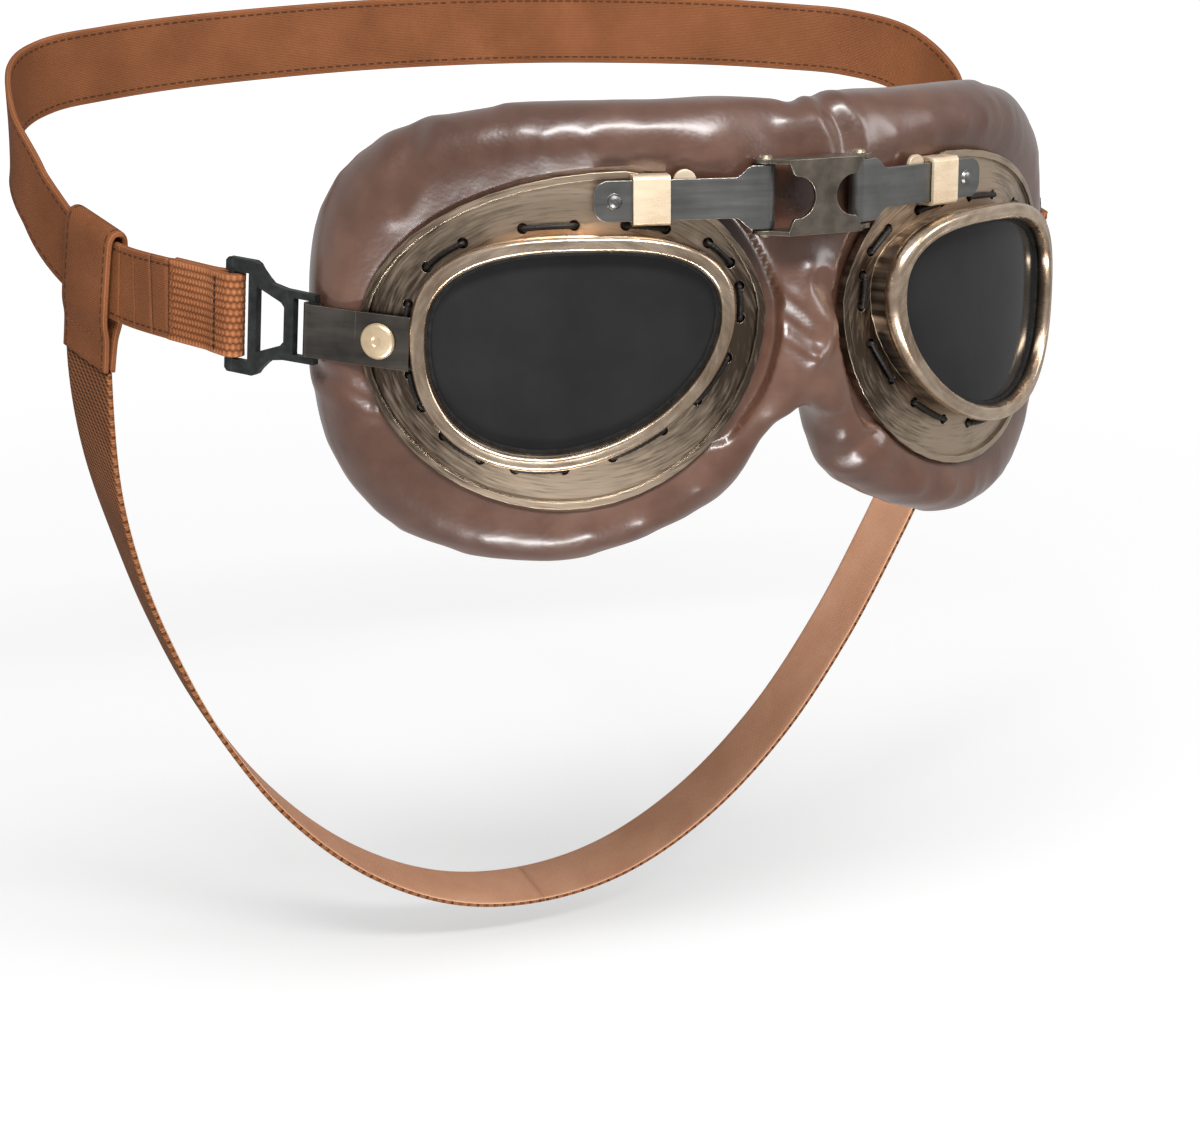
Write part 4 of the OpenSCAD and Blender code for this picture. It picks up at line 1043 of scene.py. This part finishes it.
rightRing = ringPad()
leftRing = ([p * [-1, 1, 1] for p in np.array(rightRing[0])], [f[::-1] for f in rightRing[1]])
points, faces = joined([rightRing, leftRing, nosePad()])
padObj = makePiece("padBlank", points, faces, [finish["leather"]])
remesh = padObj.modifiers.new("blank", "REMESH")
remesh.mode = "VOXEL"
remesh.voxel_size = pad["voxel"] * mm
applyModifiers(padObj)
setVertices(padObj, evened(padObj, vertexArray(padObj), 2))
print("cushion blank:", len(padObj.data.vertices), "points")
fillPad(padObj)
smoother = padObj.modifiers.new("finer", "SUBSURF")
smoother.levels = 2
applyModifiers(padObj)

# The metal frame presses the leather flat, with room at the nose for its slide inwards.
padCo = vertexArray(padObj)
w, fromFlange, fromLens = cupPlace(padCo)[2:]
room = pad["room"] * smooth((25.0 - np.abs(padCo[:, 0]) / mm) / 8.0)
over = np.clip(w + pad["under"] + 0.22 * room, 0, None)
over *= smooth((0.6 + room - fromFlange) / 1.6) * smooth((fromLens + 6.0) / 2.0)
padCo -= vertexArray(padObj, "normal") * (over * mm)[:, None]
padNormals = vertexArray(padObj, "normal")
inMm = padCo / mm
lift = gathers(padCo, pad["gather"]) - pad["seam"] * seamDepth(padCo)
for line, depth, width, ridge in folds:
    away = foldDistance(inMm, line)
    lift += ridge * np.exp(-((away - 1.9 * width) / (0.95 * width)) ** 2)
    lift -= depth * np.exp(-(away / width) ** 2)
free = smooth((fromFlange + 0.4 - room) / 1.5) + smooth((-w - 5.0) / 3.0)
padCo += padNormals * (lift * np.clip(free, 0, 1) * mm)[:, None]
setVertices(padObj, padCo)
print("cushion shaped:", len(padCo), "points")

# The pad is cut where the cups' rings meet the nose part, and keeps its smooth normals.
allNormals = vertexArray(padObj, "normal")


def cutPad(name, keepTest):
    mesh = padObj.data.copy()
    mesh.name = name
    bm = bmesh.new()
    bm.from_mesh(mesh)
    for x in (pad["split"] * mm, 0.0, -pad["split"] * mm):
        geom = bm.verts[:] + bm.edges[:] + bm.faces[:]
        bmesh.ops.bisect_plane(bm, geom=geom, dist=1e-7, plane_co=(x, 0, 0), plane_no=(1, 0, 0))
    gone = [f for f in bm.faces if not keepTest(f.calc_center_median().x / mm)]
    bmesh.ops.delete(bm, geom=gone, context="FACES")
    bm.to_mesh(mesh)
    bm.free()
    obj = bpy.data.objects.new(name, mesh)
    scene.collection.objects.link(obj)
    mesh.polygons.foreach_set("use_smooth", [True] * len(mesh.polygons))
    return obj


padCuts = {
    "ringPad_right": lambda x: x > pad["split"],
    "ringPad_left": lambda x: x < -pad["split"],
    "nosePad_right": lambda x: 0 < x < pad["split"],
    "nosePad_left": lambda x: -pad["split"] < x < 0,
}
tree = KDTree(len(padCo))
for i, c in enumerate(padCo):
    tree.insert(c, i)
tree.balance()
for name, keep in padCuts.items():
    obj = cutPad(name, keep)
    normals = []
    for v in obj.data.vertices:
        total = Vector((0, 0, 0))
        for c, i, dist in tree.find_n(v.co, 3):
            total += Vector(allNormals[i]) / (dist + 1e-5)
        normals.append(total.normalized())
    obj.data.normals_split_custom_set_from_vertices(normals)
    side = name.split("_")[1]
    s = 1 if side == "right" else -1
    if name.startswith("ring"):
        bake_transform(obj)
        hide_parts("cushion_" + side)
    else:
        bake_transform(obj)
        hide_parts("nose_cushion")
bpy.data.objects.remove(padObj)
print("cushion cut into", len(padCuts), "pieces")

# The backdrop's brightness, which the camera, glass and metal see, and what lights the part.
# The floor glows more where the lamps fall off, from glowRun metres outwards.
stage = {"floor": 0.45, "glow": (0.50, 0.84), "glowRun": (0.3, 1.6), "size": 9.0,
         "below": 0.012, "fill": 0.40, "front": 0.34, "back": 0.55, "depth": (-0.5, 0.7)}


def seenRays(tree, glossyShare):
    path = tree.nodes.new("ShaderNodeLightPath")
    direct = mathNode(tree, "MAXIMUM", path.outputs["Is Camera Ray"],
                      path.outputs["Is Transmission Ray"])
    shown = times(tree, path.outputs["Is Glossy Ray"], glossyShare)
    return mathNode(tree, "MAXIMUM", direct, shown)


def mapRange(tree, value, span, result):
    node = addNode(tree, "ShaderNodeMapRange", Value=value)
    node.inputs["From Min"].default_value, node.inputs["From Max"].default_value = span
    node.inputs["To Min"].default_value, node.inputs["To Max"].default_value = result
    return node.outputs[0]


floorMat, floorTree, floorShader = newMaterial("paleFloor", grey(stage["floor"]), 0.6)
floorShader.inputs["Emission Color"].default_value = (1, 1, 1, 1)
reach = addNode(floorTree, "ShaderNodeVectorMath", operation="LENGTH")
floorTree.links.new(objectSpace(floorTree), reach.inputs[0])
glow = mapRange(floorTree, reach.outputs["Value"], stage["glowRun"], stage["glow"])
floorTree.links.new(times(floorTree, seenRays(floorTree, 0.5), glow),
                    floorShader.inputs["Emission Strength"])
bm = bmesh.new()
bmesh.ops.create_grid(bm, x_segments=8, y_segments=8, size=stage["size"])
floorMesh = bpy.data.meshes.new("floor")
bm.to_mesh(floorMesh)
bm.free()
floor = bpy.data.objects.new("floor", floorMesh)
floor.location = (0, 0, cadBox[0].z - stage["below"])
floor.visible_shadow = False
floor.visible_glossy = False
floorMesh.materials.append(floorMat)
scene.collection.objects.link(floor)

world = bpy.data.worlds.new("studio")
scene.world = world
world.use_nodes = True
wt = world.node_tree
background = wt.nodes["Background"]
background.inputs["Color"].default_value = (1, 1, 1, 1)
splitW = addNode(wt, "ShaderNodeSeparateXYZ")
wt.links.new(wt.nodes.new("ShaderNodeTexCoord").outputs["Generated"], splitW.inputs[0])
backdrop = mapRange(wt, splitW.outputs[1], stage["depth"], (stage["front"], stage["back"]))
glossy = wt.nodes.new("ShaderNodeLightPath").outputs["Is Glossy Ray"]
lighting = times(wt, mathNode(wt, "SUBTRACT", 1.0, glossy), stage["fill"])
strength = mathNode(wt, "MAXIMUM", lighting, seenRays(wt, backdrop))
wt.links.new(strength, background.inputs["Strength"])


def areaLight(name, at, target, size, power):
    data = bpy.data.lights.new(name, "AREA")
    data.shape = "RECTANGLE"
    data.size, data.size_y = size
    data.energy = power
    obj = bpy.data.objects.new(name, data)
    obj.location = at
    obj.rotation_mode = "QUATERNION"
    obj.rotation_quaternion = (Vector(target) - Vector(at)).to_track_quat("-Z", "Y")
    scene.collection.objects.link(obj)


# Name, place and target in metres, width and height, watts.
lamps = [
    ("topSoft", (-0.22, -0.76, 0.88), (-0.03, 0, 0.03), (0.95, 0.22), 19.5),
    ("lowLeft", (-0.44, -0.54, -0.68), (-0.06, 0, -0.02), (0.55, 0.14), 7.5),
    ("rightSoft", (0.95, -0.75, 0.50), (0.03, 0.03, 0), (0.30, 0.70), 4.5),
]
for lamp in lamps:
    areaLight(*lamp)

view = {"at": (-0.300298, -0.522691, 0.109921), "right": (0.89972859, -0.43642324, -0.0048198),
        "up": (0.12028688, 0.23733726, 0.96395129), "lens": 78.0, "sensor": 36.0,
        "clip": (0.01, 20)}
camData = bpy.data.cameras.new("photoView")
camData.lens = view["lens"]
camData.sensor_width = view["sensor"]
camData.clip_start, camData.clip_end = view["clip"]
cam = bpy.data.objects.new("photoView", camData)
right, up = Vector(view["right"]).normalized(), Vector(view["up"]).normalized()
back = right.cross(up)
cam.matrix_world = Matrix((
    (right.x, up.x, back.x, view["at"][0]), (right.y, up.y, back.y, view["at"][1]),
    (right.z, up.z, back.z, view["at"][2]), (0, 0, 0, 1)))
scene.collection.objects.link(cam)
scene.camera = cam
scene.view_settings.view_transform = "Standard"
print("stage set")
